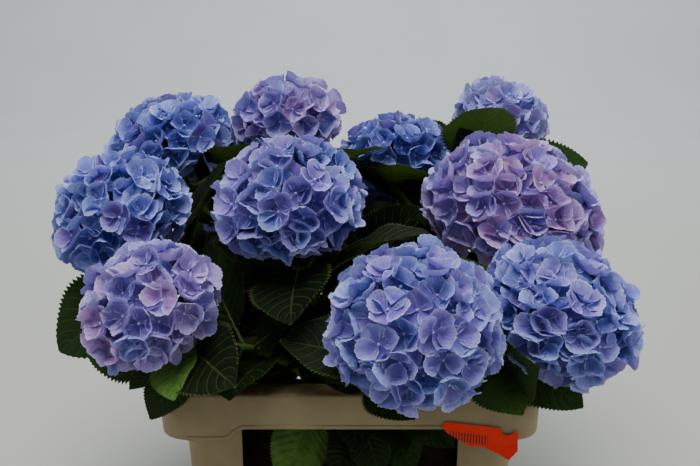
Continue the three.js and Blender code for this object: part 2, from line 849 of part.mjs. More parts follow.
const touches = (a, b) => !a.intersect(b).isEmpty();

// Whether a leaf has room: it may touch only its own stem and bloom, and its twin.
function hasRoom(leaf, owner, node, obstacles, grown) {
  const wide = leafSolid(leaf, LEAF.margin);
  if (obstacles.some((thing) => thing.owner !== owner && touches(wide, thing.solid))) return false;
  return !grown.some((other) => other.node !== node && touches(wide, other.solid));
}

// Grows the known leaves, then the others pair by pair over the whole shrub. A leaf without room
// tries a few other ways to stand, and is left out if none is free.
function growLeaves(plans, obstacles) {
  const grown = [];
  for (const row of KNOWN_LEAVES) {
    const plan = plans.find(({ name }) => name === row.shoot);
    const node = `${plan.name} ${row.pair}`;
    const leaf = knownLeaf(plan, row);
    if (!hasRoom(leaf, plan.name, node, obstacles, grown)) continue;
    grown.push({ owner: plan.name, node, half: row.half, solid: leafSolid(leaf, 0) });
  }
  for (let pairIndex = 0; pairIndex < PAIRS.length; pairIndex++) {
    for (const plan of plans.filter(({ pairs }) => pairIndex < pairs.length)) {
      const node = `${plan.name} ${pairIndex}`;
      for (let half = 0; half < 2; half++) {
        if (grown.some((other) => other.node === node && other.half === half)) continue;
        for (let attempt = 0; attempt < TRIES.length; attempt++) {
          const leaf = leafPlan(plan, pairIndex, half, attempt);
          if (reachesOut(leaf, plan.reach)) continue;
          if (!hasRoom(leaf, plan.name, node, obstacles, grown)) continue;
          grown.push({ owner: plan.name, node, half, solid: leafSolid(leaf, 0) });
          break;
        }
      }
    }
  }
  return grown;
}

function makeCane(plan, stoolRoom) {
  const to = plan.split - SEAT_GAP / plan.length;
  const steps = Math.ceil((to * plan.length) / STEM.step);
  return taperedTube(plan.curve, 0, to, STEM.base, STEM.split, steps, STEM.sides).subtract(stoolRoom);
}

function makeLeafyStem(plan) {
  const steps = Math.ceil(((1 - plan.split) * plan.length) / STEM.step);
  return taperedTube(plan.curve, plan.split, 1, STEM.split, STEM.tip, steps, STEM.sides);
}

function meshOf(name, solid, colour, roughness) {
  const geometry = geometryOfSolid(solid);
  geometry.computeVertexNormals();
  const material = new THREE.MeshStandardMaterial({ color: colour, roughness, metalness: 0 });
  const mesh = new THREE.Mesh(geometry, material);
  mesh.name = name;
  return mesh;
}

// The windows' openings, which no leaf reaches into.
function windowRooms() {
  const { bottom, notchTop, frontLength, sideLength } = WINDOW;
  const [bodyX, bodyY] = bodyHalf(CRATE.height);
  const high = notchTop - bottom;
  const rooms = [];
  for (const way of [-1, 1]) {
    const front = new THREE.BoxGeometry(frontLength, 2 * CRATE.overhang, high);
    rooms.push(front.translate(0, way * (bodyY - CRATE.wall), bottom + high / 2));
    const side = new THREE.BoxGeometry(2 * CRATE.overhang, sideLength, high);
    rooms.push(side.translate(way * (bodyX - CRATE.wall), 0, bottom + high / 2));
  }
  return rooms.map(solidOf);
}

function makeShrub() {
  const plans = SHOOTS.map(planShoot);
  placeRoots(plans).forEach((root, i) => routeStem(plans[i], root));
  const crate = makeCrate();
  const tub = makeTub();
  const soil = makeSoil();
  const stool = solidOf(skinned(stoolRings()));
  const stoolRoom = solidOf(skinned(stoolRings(SEAT_GAP)));
  const canes = plans.map((plan) => ({ owner: plan.name, solid: makeCane(plan, stoolRoom) }));
  const stems = plans.map((plan) => ({ owner: plan.name, solid: makeLeafyStem(plan) }));
  const blooms = plans.map((plan) => ({ owner: "", solid: makeBloom(plan, plans) }));
  const blocks = [crate.body, crate.skirt, tub, soil, stool, ...windowRooms()];
  const pot = blocks.map((solid) => ({ owner: "", solid }));
  const leaves = growLeaves(plans, [...pot, ...canes, ...stems, ...blooms]);

  const shrub = new THREE.Group();
  crateParts(crate).forEach(([name, solid]) => shrub.add(meshOf(name, solid, COLOUR.cream, 0.5)));
  shrub.add(meshOf("growing_tub", tub, COLOUR.black, 0.6));
  shrub.add(meshOf("soil", soil, COLOUR.soil, 0.95));
  shrub.add(meshOf("woody_stool", stool, COLOUR.wood, 0.85));
  plans.forEach((plan, i) => {
    const own = leaves.filter((leaf) => leaf.owner === plan.name).map((leaf) => leaf.solid);
    shrub.add(meshOf(`cane_${plan.name}`, canes[i].solid, COLOUR.cane, 0.7));
    const foliage = joined([stems[i].solid, ...own]);
    shrub.add(meshOf(`foliage_${plan.name}`, foliage, COLOUR.leaf, 0.6));
    shrub.add(meshOf(`bloom_${plan.name}`, blooms[i].solid, BLOOM_COLOUR[plan.name], 0.8));
  });
  return shrub;
}

export default makeShrub();
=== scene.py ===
"""Looks of the potted mophead hydrangea: petals, leaves, canes, pot, soil and studio, around the solids.

Plant sizes are in millimetres, as in the solids' own rule, and are turned into metres as meshes are made.
"""

import json
import math

import bmesh
import bpy
import numpy as np
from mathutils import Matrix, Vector
from mathutils.bvhtree import BVHTree
from mathutils.kdtree import KDTree


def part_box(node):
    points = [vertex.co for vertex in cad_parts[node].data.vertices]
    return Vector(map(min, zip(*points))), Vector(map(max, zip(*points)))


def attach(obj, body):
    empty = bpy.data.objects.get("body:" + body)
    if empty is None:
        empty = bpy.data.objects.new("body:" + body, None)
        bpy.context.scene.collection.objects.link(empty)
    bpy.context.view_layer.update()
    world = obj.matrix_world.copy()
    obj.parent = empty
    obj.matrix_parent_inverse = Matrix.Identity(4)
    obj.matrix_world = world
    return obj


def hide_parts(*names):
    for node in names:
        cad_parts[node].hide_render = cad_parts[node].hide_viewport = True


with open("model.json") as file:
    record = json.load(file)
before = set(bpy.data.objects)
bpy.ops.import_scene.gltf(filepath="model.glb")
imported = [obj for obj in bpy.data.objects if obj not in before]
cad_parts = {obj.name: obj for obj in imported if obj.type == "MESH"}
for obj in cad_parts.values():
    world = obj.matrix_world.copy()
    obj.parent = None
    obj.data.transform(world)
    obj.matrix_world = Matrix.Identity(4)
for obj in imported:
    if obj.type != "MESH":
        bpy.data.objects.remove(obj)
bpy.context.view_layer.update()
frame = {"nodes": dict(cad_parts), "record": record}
NODES = frame["nodes"]

MM = 0.001
MASK = 0xFFFFFFFF
UP = np.array([0.0, 0.0, 1.0])
RIGHT = np.array([1.0, 0.0, 0.0])
BACK = np.array([0.0, 1.0, 0.0])
GOLDEN_ANGLE = math.pi * (3 - math.sqrt(5))
ANY_PHASE = 6.28  # times a chance, a phase anywhere in about one turn
SEEDS = dict(placed=7000, small=5000, florets=3000, spiral=900, stool=77, soil=55)

# The growth rule of the solids, written again

CRATE = dict(
    length=420, depth=300, height=260, overhang=22, draft=14, wall=4, floor=5, ledge=5, skirt_drop=57,
    skirt_draft=2, rim_corner=34, body_corner=28, top_round=5, top_ease=1.5, top_tuck=0.6, past=1,
)
WINDOW = dict(
    front=240, side=150, bottom=122, corner=13, sill_corner=5, notch_top=217, notch_slope=11, overlap=0.5,
)
CORNERS = ("front_left", "front_right", "back_left", "back_right")
SOIL_TOP = 104
SEAT_GAP = 0.3
STOOL = dict(height=34, levels=((0, 43), (0.22, 38), (0.5, 34), (0.8, 35), (1, 25)), lean=2)
FOCUS = np.array([0.0, 0.0, -100.0])
BLOOM = dict(under=0.72, neck=0.62, lowest=128, touching=6, press_gap=1)
STEM = dict(base=5, split=4.2, tip=3.4, mouth=310, lean=0.07, arch=0.12, bare=125, below=12)
ROOT = dict(inner=10, outer=26, spacing=11.5, rounds=40, top=0.85, fall=0.5)
PAIRS = ((22, 118, 82), (52, 142, 60), (94, 138, 62), (140, 124, 60), (190, 112, 62), (240, 100, 64))
LEAF = dict(width=0.76, petiole=26, petiole_half=2.2, fold=0.2, droop=30, flattest=-0.15, skyward=0.4)
JITTER = dict(turn=9, roll=2, length=0.05, droop=0.3)
TRIES = (
    (0, 0, 1), (0, 10, 1), (14, 4, 1), (-14, 4, 1), (0, -14, 0.96), (0, 0, 0.82), (28, 0, 0.94),
    (-28, 0, 0.94), (0, 22, 0.92), (40, 10, 0.88), (-40, 10, 0.88), (0, -26, 0.86), (22, 24, 0.82),
    (-22, 24, 0.82),
)

# The leaves that stand out most: shoot, pair, half, where the tip reaches, and the way the blade faces.
KNOWN_LEAVES = (
    ("left", 0, 1, (-344, -20, 251), (0.4, -0.7, 0.6)),
    ("front_left", 1, 1, (-298, -75, 276), (0, -0.7, 0.7)),
    ("front_left", 0, 1, (-177, -215, 285), (-0.4, -0.7, 0.6)),
    ("front_left", 2, 1, (-166, -10, 383), (-0.6, -0.5, 0.6)),
    ("front_left", 3, 0, (-124, -190, 272), (-0.4, -0.7, 0.6)),
    ("front_middle", 1, 0, (-54, -40, 301), (-0.3, -0.9, 0.3)),
    ("front_middle", 2, 0, (66, -215, 264), (-0.4, -0.7, 0.6)),
    ("front_right", 1, 0, (248, -160, 249), (0.2, -0.8, 0.6)),
    ("front_right", 1, 1, (174, -220, 271), (-0.4, -0.7, 0.6)),
    ("back_left", 2, 0, (-220, 240, 398), (0, -0.3, 0.95)),
    ("back_inner", 3, 0, (81, 20, 418), (-0.4, -0.7, 0.6)),
    ("back_right", 1, 0, (311, 180, 430), (0, -1, 0)),
    ("back_right", 1, 1, (168, 90, 522), (0, -0.3, 0.95)),
)

# The greens that a leaf can have, in the order of LEAF_LOOKS, and the leaves whose green is known.
# The last is no green of the leaf's own but painted shade, for leaves deep in the crown.
DARK, MID, BRIGHT, PAINTED_SHADE = range(4)
LEAF_TINTS = {
    ("front_left", 0, 1): BRIGHT, ("back_right", 1, 1): MID, ("back_right", 1, 0): MID,
    ("front_left", 2, 1): DARK, ("front_right", 1, 0): DARK,
}
# Leaves given the painted shade, as they lie in deep shade within the crown.
LEAVES_IN_PAINTED_SHADE = (
    ("front_left", 0, 0), ("front_left", 3, 0), ("left", 1, 1), ("centre", 1, 0), ("back_left", 0, 1),
    ("front_middle", 1, 0), ("front_middle", 0, 0), ("back_left", 2, 0), ("front_middle", 3, 1),
    ("back_middle", 1, 1), ("back_inner", 0, 1), ("centre", 0, 1), ("centre", 0, 0), ("centre", 1, 1),
)

# Small leaves with known tips, behind the front window, between the front blooms and in gaps of the crown:
# shoot, distance down its stem, tip, facing, and green.
PLACED_LEAVES = (
    ("front_left", 225, (-79, -98, 117), (0.1, -0.9, 0.3), BRIGHT),
    ("front_middle", 205, (36, -98, 128), (-0.2, -0.9, 0.3), DARK),
    ("front_right", 225, (72, -92, 130), (0, -0.9, 0.3), MID),
    ("front_right", 195, (118, -100, 168), (0, -0.8, 0.5), MID),
    ("front_right", 40, (185, -235, 331), (-0.3, -0.95, 0.1), DARK),
    ("front_left", 40, (-213, -160, 235), (-0.2, -0.7, 0.5), DARK),
    # The next eight are dark leaves in painted shade, put where only shade shows in gaps of the crown.
    ("back_right", 110, (58, 112, 407), (-0.3, -0.9, 0.4), PAINTED_SHADE),
    ("back_right", 110, (67, 100, 416), (0.4, -0.8, 0.4), PAINTED_SHADE),
    ("left", 160, (-83, 40, 176), (0, -0.9, 0.4), PAINTED_SHADE),
    ("centre", 80, (-3, -40, 356), (0, -0.9, 0.4), PAINTED_SHADE),
    ("back_right", 50, (135, 120, 490), (0, -0.9, 0.4), PAINTED_SHADE),
    ("centre", 60, (-16, 34, 289), (-0.3, -0.9, 0.4), PAINTED_SHADE),
    ("back_inner", 110, (-17, 70, 392), (0.3, -0.9, 0.4), PAINTED_SHADE),
    ("back_left", 110, (-195, 160, 289), (0.4, -0.8, 0.4), PAINTED_SHADE),
)

# Younger and lower leaf pairs: distance down the stem, blade length, and angle from the stem.
# They are numbered from 40, after the large leaves, and keep off the lowest 40 mm of a shoot.
SMALL_PAIRS = (
    (36, 70, 66), (72, 78, 60), (116, 84, 62), (164, 84, 58), (214, 80, 60), (262, 74, 62), (300, 66, 60),
    (62, 60, 70), (104, 66, 74), (150, 70, 76), (198, 70, 80), (238, 66, 84), (282, 60, 88),
)
SMALL_NUMBER = 40
SMALL_LOWEST = 40
SMALL_LEAF = dict(petiole=18, petiole_half=1.6)
CROWN = dict(reach=300, half_pot=(200, 150), over_pot=262)

# Name, bloom centre, radius, rise, turn, spread, roll, and the palette its florets are dealt from.
SHOOTS = (
    ("front_left", (-210, -140, 356), 78, 0.8, 5, -2, 15, "lavender"),
    ("front_middle", (63, -208, 359), 90, 0.95, 115, 4, 15, "periwinkle"),
    ("front_right", (222, -135, 348), 91, 0.7, 118, -4, 10, "periwinkle"),
    ("left", (-263, 5, 409), 84, 0.9, 90, -8, 10, "blue"),
    ("centre", (-67, -45, 439), 85, 0.9, 90, -6, 0, "violet_blue"),
    ("right", (195, 52, 399), 112, 0.8, 90, -4, 0, "mauve"),
    ("back_left", (-228, 165, 454), 86, 0.74, 90, 0, 0, "blue"),
    ("back_middle", (-83, 178, 485), 73, 0.8, 90, 6, 0, "lavender"),
    ("back_inner", (66, 190, 435), 76, 0.72, 90, 0, 0, "deep_blue"),
    ("back_right", (201, 228, 476), 66, 0.8, 0, 16, 0, "pale"),
    ("rear_left", (-150, 250, 350), 74, 0.75, 90, 0, 0, "violet_blue"),
    ("rear_middle", (6, 272, 346), 74, 0.75, 90, 0, 0, "lavender"),
    ("rear_right", (162, 262, 340), 74, 0.75, 90, 0, 0, "blue"),
)


def chance(a, b, c):
    """A repeatable number from 0 to 1 for three whole numbers."""
    h = (a * 374761393 + b * 668265263 + c * 2246822519) & MASK
    h = ((h ^ (h >> 13)) * 1274126177) & MASK
    h = ((h ^ (h >> 15)) * 2246822519) & MASK
    return (h ^ (h >> 16)) / (MASK + 1)


def unit(v):
    return v / np.linalg.norm(v)


def turned(v, axis, angle):
    """v turned about a unit axis."""
    c, s = math.cos(angle), math.sin(angle)
    return v * c + np.cross(axis, v) * s + axis * (axis @ v) * (1 - c)


def square_to(v):
    """Two directions square to a unit vector and to each other."""
    first = unit(np.cross(UP if abs(v[2]) < 0.9 else RIGHT, v))
    return first, np.cross(v, first)


class Curve:
    """A cubic Bezier curve, read by its share of the arc length."""

    STEPS = 200
    NEAR = 1e-4

    def __init__(self, *corners):
        self.corners = [np.asarray(c, float) for c in corners]
        points = self.point(np.linspace(0, 1, self.STEPS + 1))
        steps = np.linalg.norm(np.diff(points, axis=0), axis=1)
        self.lengths = np.concatenate([[0], np.cumsum(steps)])
        self.length = self.lengths[-1]

    def point(self, t):
        t = np.atleast_1d(t)[:, None]
        a, b, c, d = self.corners
        k = 1 - t
        return a * k**3 + 3 * b * k * k * t + 3 * c * k * t * t + d * t**3

    def t_of(self, share):
        return np.interp(share * self.length, self.lengths, np.linspace(0, 1, self.STEPS + 1))

    def at(self, share):
        return self.point(self.t_of(share))[0]

    def tangent(self, share):
        t = self.t_of(share)
        ends = self.point(np.array([max(t - self.NEAR, 0), min(t + self.NEAR, 1)]))
        return unit(ends[1] - ends[0])

    def frames(self, shares):
        """For each share a point and two directions across, which turn no more than the curve does."""
        across, rows = None, []
        for share in shares:
            tangent = self.tangent(share)
            if across is None:
                across = square_to(tangent)[0]
            across = unit(across - tangent * (across @ tangent))
            rows.append((self.at(share), across, np.cross(tangent, across)))
        return rows


class Shoot:
    """One cane with its leafy stem and its bloom."""

    def __init__(self, index, row):
        self.index = index
        self.name, centre, self.radius, self.rise, self.turn, self.spread, self.roll, self.palette = row
        self.centre = np.array(centre, float)
        self.axis = unit(self.centre - FOCUS)
        self.side = unit(np.cross(UP, self.axis))
        self.second = np.cross(self.axis, self.side)
        self.neck = self.centre - self.axis * BLOOM["neck"] * self.radius

    def reach(self, direction):
        up = direction @ self.axis
        rise = self.rise if up > 0 else BLOOM["under"]
        return self.radius * math.sqrt(1 - up * up + up * up * rise * rise)

    def dome(self, polar, turning, share):
        """A point of the dome at a polar and a turning angle, for a layer at a share of the full size."""
        up = math.cos(polar)
        out = math.sin(polar) * self.radius * share
        lift = up * self.radius * share * (self.rise if up > 0 else BLOOM["under"])
        around = self.side * math.cos(turning) + self.second * math.sin(turning)
        return self.centre + around * out + self.axis * lift

    def dome_normal(self, polar, turning):
        step = 0.01
        a = self.dome(polar, turning, 1)
        b = self.dome(polar + step, turning, 1)
        c = self.dome(polar, turning + step, 1)
        normal = unit(np.cross(b - a, c - a))
        return -normal if normal @ (a - self.centre) < 0 else normal


def place_roots(shoots):
    """Where each cane stands: the taller its shoot the nearer to the middle, pushed clear of the others."""
    heights = [s.neck[2] for s in shoots]
    lowest, span = min(heights), max(heights) - min(heights)
    roots = []
    for s in shoots:
        radius = ROOT["outer"] - (ROOT["outer"] - ROOT["inner"]) * (s.neck[2] - lowest) / span
        roots.append(unit(s.neck * (1, 1, 0)) * radius)
    for _ in range(ROOT["rounds"]):
        for i in range(len(roots)):
            for j in range(i + 1, len(roots)):
                apart = roots[j] - roots[i]
                length = np.linalg.norm(apart)
                push = (ROOT["spacing"] - length) / 2
                if push > 0:
                    roots[i] = roots[i] - apart / length * push
                    roots[j] = roots[j] + apart / length * push
    return roots


def route_stems(shoots):
    for s, root in zip(shoots, place_roots(shoots)):
        fall = ROOT["fall"] * np.linalg.norm(root) / ROOT["outer"]
        root[2] = SOIL_TOP + STOOL["height"] * (ROOT["top"] - fall)
        span = np.linalg.norm(s.neck - root)
        above = root + unit(s.neck * (1, 1, 0)) * STEM["lean"] * span
        above[2] = STEM["mouth"]
        s.curve = Curve(root, above, s.neck - s.axis * STEM["arch"] * span, s.neck)
        s.length = s.curve.length
        s.pairs = [p for p in range(len(PAIRS)) if PAIRS[p][0] < s.length - STEM["bare"]]
        s.split = 1 - (PAIRS[s.pairs[-1]][0] + STEM["below"]) / s.length


def new_leaf(foot, pointing, facing, length, droop):
    return dict(
        foot=foot, pointing=pointing, facing=facing, length=length, droop=droop,
        petiole=LEAF["petiole"], petiole_half=LEAF["petiole_half"],
    )


def leaf_plan(s, key, below, base_length, base_angle, turn, half, attempt):
    """A leaf by the rule: where its foot is, the way it points and faces, its length and droop."""
    turn_by, angle_by, share = TRIES[attempt]

    def wobble(n):
        return (2 * chance(s.index, key, n) - 1) * JITTER["turn"]

    def spare(n, spread):
        return 1 + spread * (2 * chance(s.index, key, n) - 1)

    roll = math.radians(s.roll * (-1 if half else 1) + JITTER["roll"] * wobble(15))
    at = 1 - below / s.length
    tangent = s.curve.tangent(at)
    side = unit(RIGHT - tangent * tangent[0])
    other = np.cross(tangent, side)
    turn = math.radians(turn + 180 * half + wobble(11) + turn_by)
    radial = side * math.cos(turn) + other * math.sin(turn)
    angle = math.radians(base_angle + s.spread + wobble(12) + angle_by)
    pointing = tangent * math.cos(angle) + radial * math.sin(angle)
    pointing[2] = max(pointing[2], LEAF["flattest"])
    pointing = unit(pointing)
    facing = tangent + (UP - tangent) * LEAF["skyward"]
    facing = turned(unit(facing - pointing * (facing @ pointing)), pointing, roll)
    length = base_length * share * spare(13, JITTER["length"])
    droop = math.radians(LEAF["droop"] * spare(14, JITTER["droop"]))
    return new_leaf(s.curve.at(at), pointing, facing, length, droop)


def known_leaf(s, below, tip, facing):
    """A leaf whose tip is known: its length and the way it points follow from its distance and droop."""
    foot = s.curve.at(1 - below / s.length)
    droop = math.radians(LEAF["droop"])
    along, down = math.sin(droop) / droop, (1 - math.cos(droop)) / droop
    away = np.array(tip, float) - foot
    distance = np.linalg.norm(away)
    squares = along * along + down * down
    half = LEAF["petiole"] * along
    length = (math.sqrt(half * half - squares * (LEAF["petiole"] ** 2 - distance**2)) - half) / squares
    lift = math.atan2(down * length, LEAF["petiole"] + along * length)
    away = away / distance
    up = np.array(facing, float)
    up = unit(up - away * (up @ away))
    pointing = away * math.cos(lift) + up * math.sin(lift)
    return new_leaf(foot, pointing, up * math.cos(lift) - away * math.sin(lift), length, droop)


def half_width(share):
    """The blade's outline, as half its width over its greatest width."""
    return 0.5 * np.sin(np.pi * np.minimum(share, 1) ** 0.82) ** 0.8


def blade_points(leaf, share, across, above=0.0, wide=1.0, drape=0.0):
    """Points of the blade: share 0 to 1 from its foot to its tip, across -1 to 1 from edge to edge."""
    share, across = np.broadcast_arrays(np.asarray(share, float), np.asarray(across, float))
    width = np.maximum(half_width(share) * leaf["length"] * LEAF["width"], leaf["petiole_half"]) * wide
    bend = leaf["droop"] * share
    start = leaf["foot"] + leaf["pointing"] * leaf["petiole"]
    reach = leaf["length"] * np.sin(bend) / leaf["droop"]
    fall = leaf["length"] * (1 - np.cos(bend)) / leaf["droop"]
    facing = leaf["facing"] * np.cos(bend)[..., None] + leaf["pointing"] * np.sin(bend)[..., None]
    sideways = np.cross(leaf["pointing"], leaf["facing"])
    spine = start + leaf["pointing"] * reach[..., None] - leaf["facing"] * fall[..., None]
    lift = above + np.abs(across) * width * LEAF["fold"] - drape * across**4 * width
    return spine + sideways * (across * width)[..., None] + facing * lift[..., None]


def tip_of(leaf):
    return blade_points(leaf, [1.0], [0.0])[0]


shoots = [Shoot(i, row) for i, row in enumerate(SHOOTS)]
route_stems(shoots)

# Meshes

BAKE_TILES = 2  # tiles a side on the bake's map, one for each material of a piece
BAKE_MARGIN = 0.03


def linked(name, data):
    """A new object in the scene."""
    made = bpy.data.objects.new(name, data)
    bpy.context.scene.collection.objects.link(made)
    return made


def mesh_object(name, points_mm, faces, materials, picks=None, uvs=None):
    """A mesh object from points in millimetres. uvs maps a UV map's name to one pair for each face corner."""
    mesh = bpy.data.meshes.new(name)
    points = np.asarray(points_mm, np.float32) * MM
    faces = np.asarray(faces, np.int32)
    mesh.vertices.add(len(points))
    mesh.vertices.foreach_set("co", points.ravel())
    mesh.loops.add(faces.size)
    mesh.loops.foreach_set("vertex_index", faces.ravel())
    mesh.polygons.add(len(faces))
    mesh.polygons.foreach_set("loop_start", np.arange(0, faces.size, faces.shape[1], dtype=np.int32))
    for material in materials:
        mesh.materials.append(material)
    if picks is not None:
        mesh.polygons.foreach_set("material_index", np.asarray(picks, np.int32))
    for uv_name, pairs in (uvs or {}).items():
        mesh.uv_layers.new(name=uv_name).data.foreach_set("uv", np.asarray(pairs, np.float32).ravel())
    mesh.update(calc_edges=True)
    mesh.polygons.foreach_set("use_smooth", np.ones(len(faces), bool))
    mesh.validate()
    return linked(name, mesh)


def grid_faces(rows, columns, wrap=False):
    """Quads of a grid of points with that many rows and columns; a wrapped grid closes round its rows."""
    r, c = np.meshgrid(np.arange(rows - 1), np.arange(columns if wrap else columns - 1), indexing="ij")
    n = (c + 1) % columns
    quads = np.stack([r * columns + c, r * columns + n, (r + 1) * columns + n, (r + 1) * columns + c], -1)
    return quads.reshape(-1, 4)


def circle(sides):
    return 2 * np.pi * np.arange(sides) / sides


def tube(rings, sides):
    """Points and faces of a tube over rings, each a centre, two directions across and one radius or more."""
    a, points = circle(sides), []
    for centre, first, second, radius in rings:
        points.append(centre + np.outer(radius * np.cos(a), first) + np.outer(radius * np.sin(a), second))
    return np.concatenate(points), grid_faces(len(rings), sides, wrap=True)


class Batch:
    """Grids of points gathered into one mesh, each with its material and perhaps its place on the pattern."""

    def __init__(self):
        self.points, self.faces, self.picks, self.local, self.tile = [], [], [], [], []
        self.count = 0

    def add(self, points, faces, pick=0, local=None):
        """local is a pattern coordinate pair for each point."""
        self.points.append(points)
        self.faces.append(faces + self.count)
        self.picks.append(np.full(len(faces), pick))
        self.count += len(points)
        if local is not None:
            pairs = local[faces.ravel()]
            self.local.append(pairs)
            tile = np.array([pick % BAKE_TILES, pick // BAKE_TILES])
            self.tile.append((tile + BAKE_MARGIN + (1 - 2 * BAKE_MARGIN) * pairs) / BAKE_TILES)

    def make(self, name, materials, uv_name=None):
        uvs = {uv_name: np.concatenate(self.local), "OFBake": np.concatenate(self.tile)} if uv_name else None
        points, faces = np.concatenate(self.points), np.concatenate(self.faces)
        return mesh_object(name, points, faces, materials, np.concatenate(self.picks), uvs)


# Leaves

LEAF_ROWS = 53
LEAF_COLUMNS = np.array([-1, -0.8, -0.55, -0.28, 0, 0.28, 0.55, 0.8, 1])
LEAF_FACES = grid_faces(LEAF_ROWS, len(LEAF_COLUMNS))
VEINS = 8.5
VEIN_SLANT = 0.34
VEIN_CURVE = 1.15
VEIN_EASE = 0.35
# The fine blade's relief: depths are shares of the blade's length, tooth and notch of its width, and
# groove_width of half its width.
BLADE = dict(
    first_tooth=0.07, last_tooth=0.985, tooth=0.028, notch=-0.022, hook=0.008, quilt=0.0095, groove=0.012,
    groove_width=0.12, wave=0.016, waves=2.3, curl=0.05,
)
STALK_SIDES = 7


def leaf_grid(leaf):
    """The fine blade: toothed edges, a folded midrib, quilting between the side veins and a wavy margin."""
    share = np.linspace(0, 1, LEAF_ROWS)[:, None]
    across = LEAF_COLUMNS[None, :]
    margin = np.abs(across)
    odd = np.arange(LEAF_ROWS)[:, None] % 2 == 1
    toothed = (share > BLADE["first_tooth"]) & (share < BLADE["last_tooth"])
    tooth = np.where(odd, BLADE["tooth"], BLADE["notch"]) * toothed * margin**6
    forward = np.where(odd, BLADE["hook"], 0.0) * toothed * margin**4
    along = np.clip(share + forward + 0 * across, 0, 1)
    vein = (share - VEIN_SLANT * margin**VEIN_CURVE * (1 - VEIN_EASE * share)) * VEINS
    quilt = np.sin(np.pi * vein) ** 2 * np.minimum(1, 3 * margin) * (1 - 0.5 * margin)
    size, seed = leaf["length"], leaf["seed"]
    groove = -BLADE["groove"] * size * np.exp(-((margin / BLADE["groove_width"]) ** 2)) * (1 - share)
    turns = BLADE["waves"] * share + 0.5 * np.sign(across)
    wave = BLADE["wave"] * size * np.sin(2 * np.pi * turns + ANY_PHASE * chance(seed, 5, 1)) * margin**2
    wave = wave * np.sin(np.pi * np.clip(share, 0, 1)) ** 0.5
    curl = BLADE["curl"] * (chance(seed, 6, 1) - 0.2)
    above = BLADE["quilt"] * size * quilt * half_width(share) * 2 + groove + wave
    points = blade_points(leaf, along, across + 0 * share, above=above, wide=1 + tooth * 2, drape=curl)
    local = np.stack(np.broadcast_arrays((across + 1) / 2, share), -1).reshape(-1, 2)
    return points.reshape(-1, 3), local


def stalk(leaf):
    """The petiole: a tube from inside the stem that runs on under the blade as its midrib."""
    pointing, facing, petiole = leaf["pointing"], leaf["facing"], leaf["petiole"]
    side = unit(np.cross(pointing, facing))
    levels = ((-2.5, 2.9, 0), (1.5, 2.5, 0), (0.5 * petiole, 1.9, -0.3), (petiole, 1.9, -0.7))
    rings = []
    for distance, radius, lift in levels:
        rings.append((leaf["foot"] + pointing * distance + facing * lift, side, facing, radius))
    for share in (0.2, 0.45, 0.7, 0.93):
        sunk = 0.9 + 0.012 * leaf["length"] * (1 - share)
        centre = blade_points(leaf, [share], [0.0])[0] - facing * sunk
        rings.append((centre, side, facing, 1.7 * (1 - share) + 0.25))
    return tube(rings, STALK_SIDES)


def coarse_leaf(leaf):
    """A thin closed shape of the leaf from just off its stem to its tip, for overlap tests."""
    clear_of_stem, thick = 8.0, 1.6
    points = [leaf["foot"] + leaf["pointing"] * clear_of_stem]
    for share, wide in ((0.0, 1), (0.2, 1.06), (0.5, 1.06), (0.8, 1.06)):
        for across, above in ((-1, 0), (0, thick), (1, 0), (0, -thick)):
            points.append(blade_points(leaf, [share], [across], above=above, wide=wide)[0])
    points.append(tip_of(leaf))
    tip, faces = len(points) - 1, []
    for s in range(4):
        n = (s + 1) % 4
        faces += [(0, 1 + n, 1 + s), (tip, tip - 4 + s, tip - 4 + n)]
        for row in range(1, tip - 4, 4):
            faces += [(row + s, row + n, row + 4 + n), (row + s, row + 4 + n, row + 4 + s)]
    return BVHTree.FromPolygons([Vector(p) for p in points], faces)


def solids_tree():
    """One tree of all solids for overlap tests, in millimetres."""
    points, faces = [], []
    for name in sorted(NODES):
        mesh = NODES[name].data
        base = len(points)
        points += [v.co / MM for v in mesh.vertices]
        faces += [[base + i for i in p.vertices] for p in mesh.polygons]
    return BVHTree.FromPolygons(points, faces)


def grow_leaves():
    """The leaves that the solids hold: of all that the rule can grow, those whose tips the solids have."""
    same_tip = 0.15
    leaves = []
    for s in shoots:
        vertices = NODES["foliage_" + s.name].data.vertices
        tips = KDTree(len(vertices))
        for i, v in enumerate(vertices):
            tips.insert(v.co / MM, i)
        tips.balance()
        for pair in s.pairs:
            below, length, angle = PAIRS[pair]
            for half in range(2):
                name, number, turn = (s.name, pair, half), 2 * pair + half, s.turn + 90 * pair
                tries = [known_leaf(s, below, *row[3:]) for row in KNOWN_LEAVES if row[:3] == name]
                for attempt in range(len(TRIES)):
                    tries.append(leaf_plan(s, number, below, length, angle, turn, half, attempt))
                for leaf in tries:
                    if tips.find(Vector(tip_of(leaf)))[2] < same_tip:
                        leaf.update(key=name, seed=100 * s.index + number, depth=below)
                        leaves.append(leaf)
                        break
    return leaves


def off_the_plant(tip):
    """Whether a small leaf would reach out of the crown, or hang beside the crate below its rim."""
    beside = any(abs(at) > half for at, half in zip(tip, CROWN["half_pot"]))
    return math.hypot(tip[0], tip[1]) > CROWN["reach"] or (beside and tip[2] < CROWN["over_pot"])


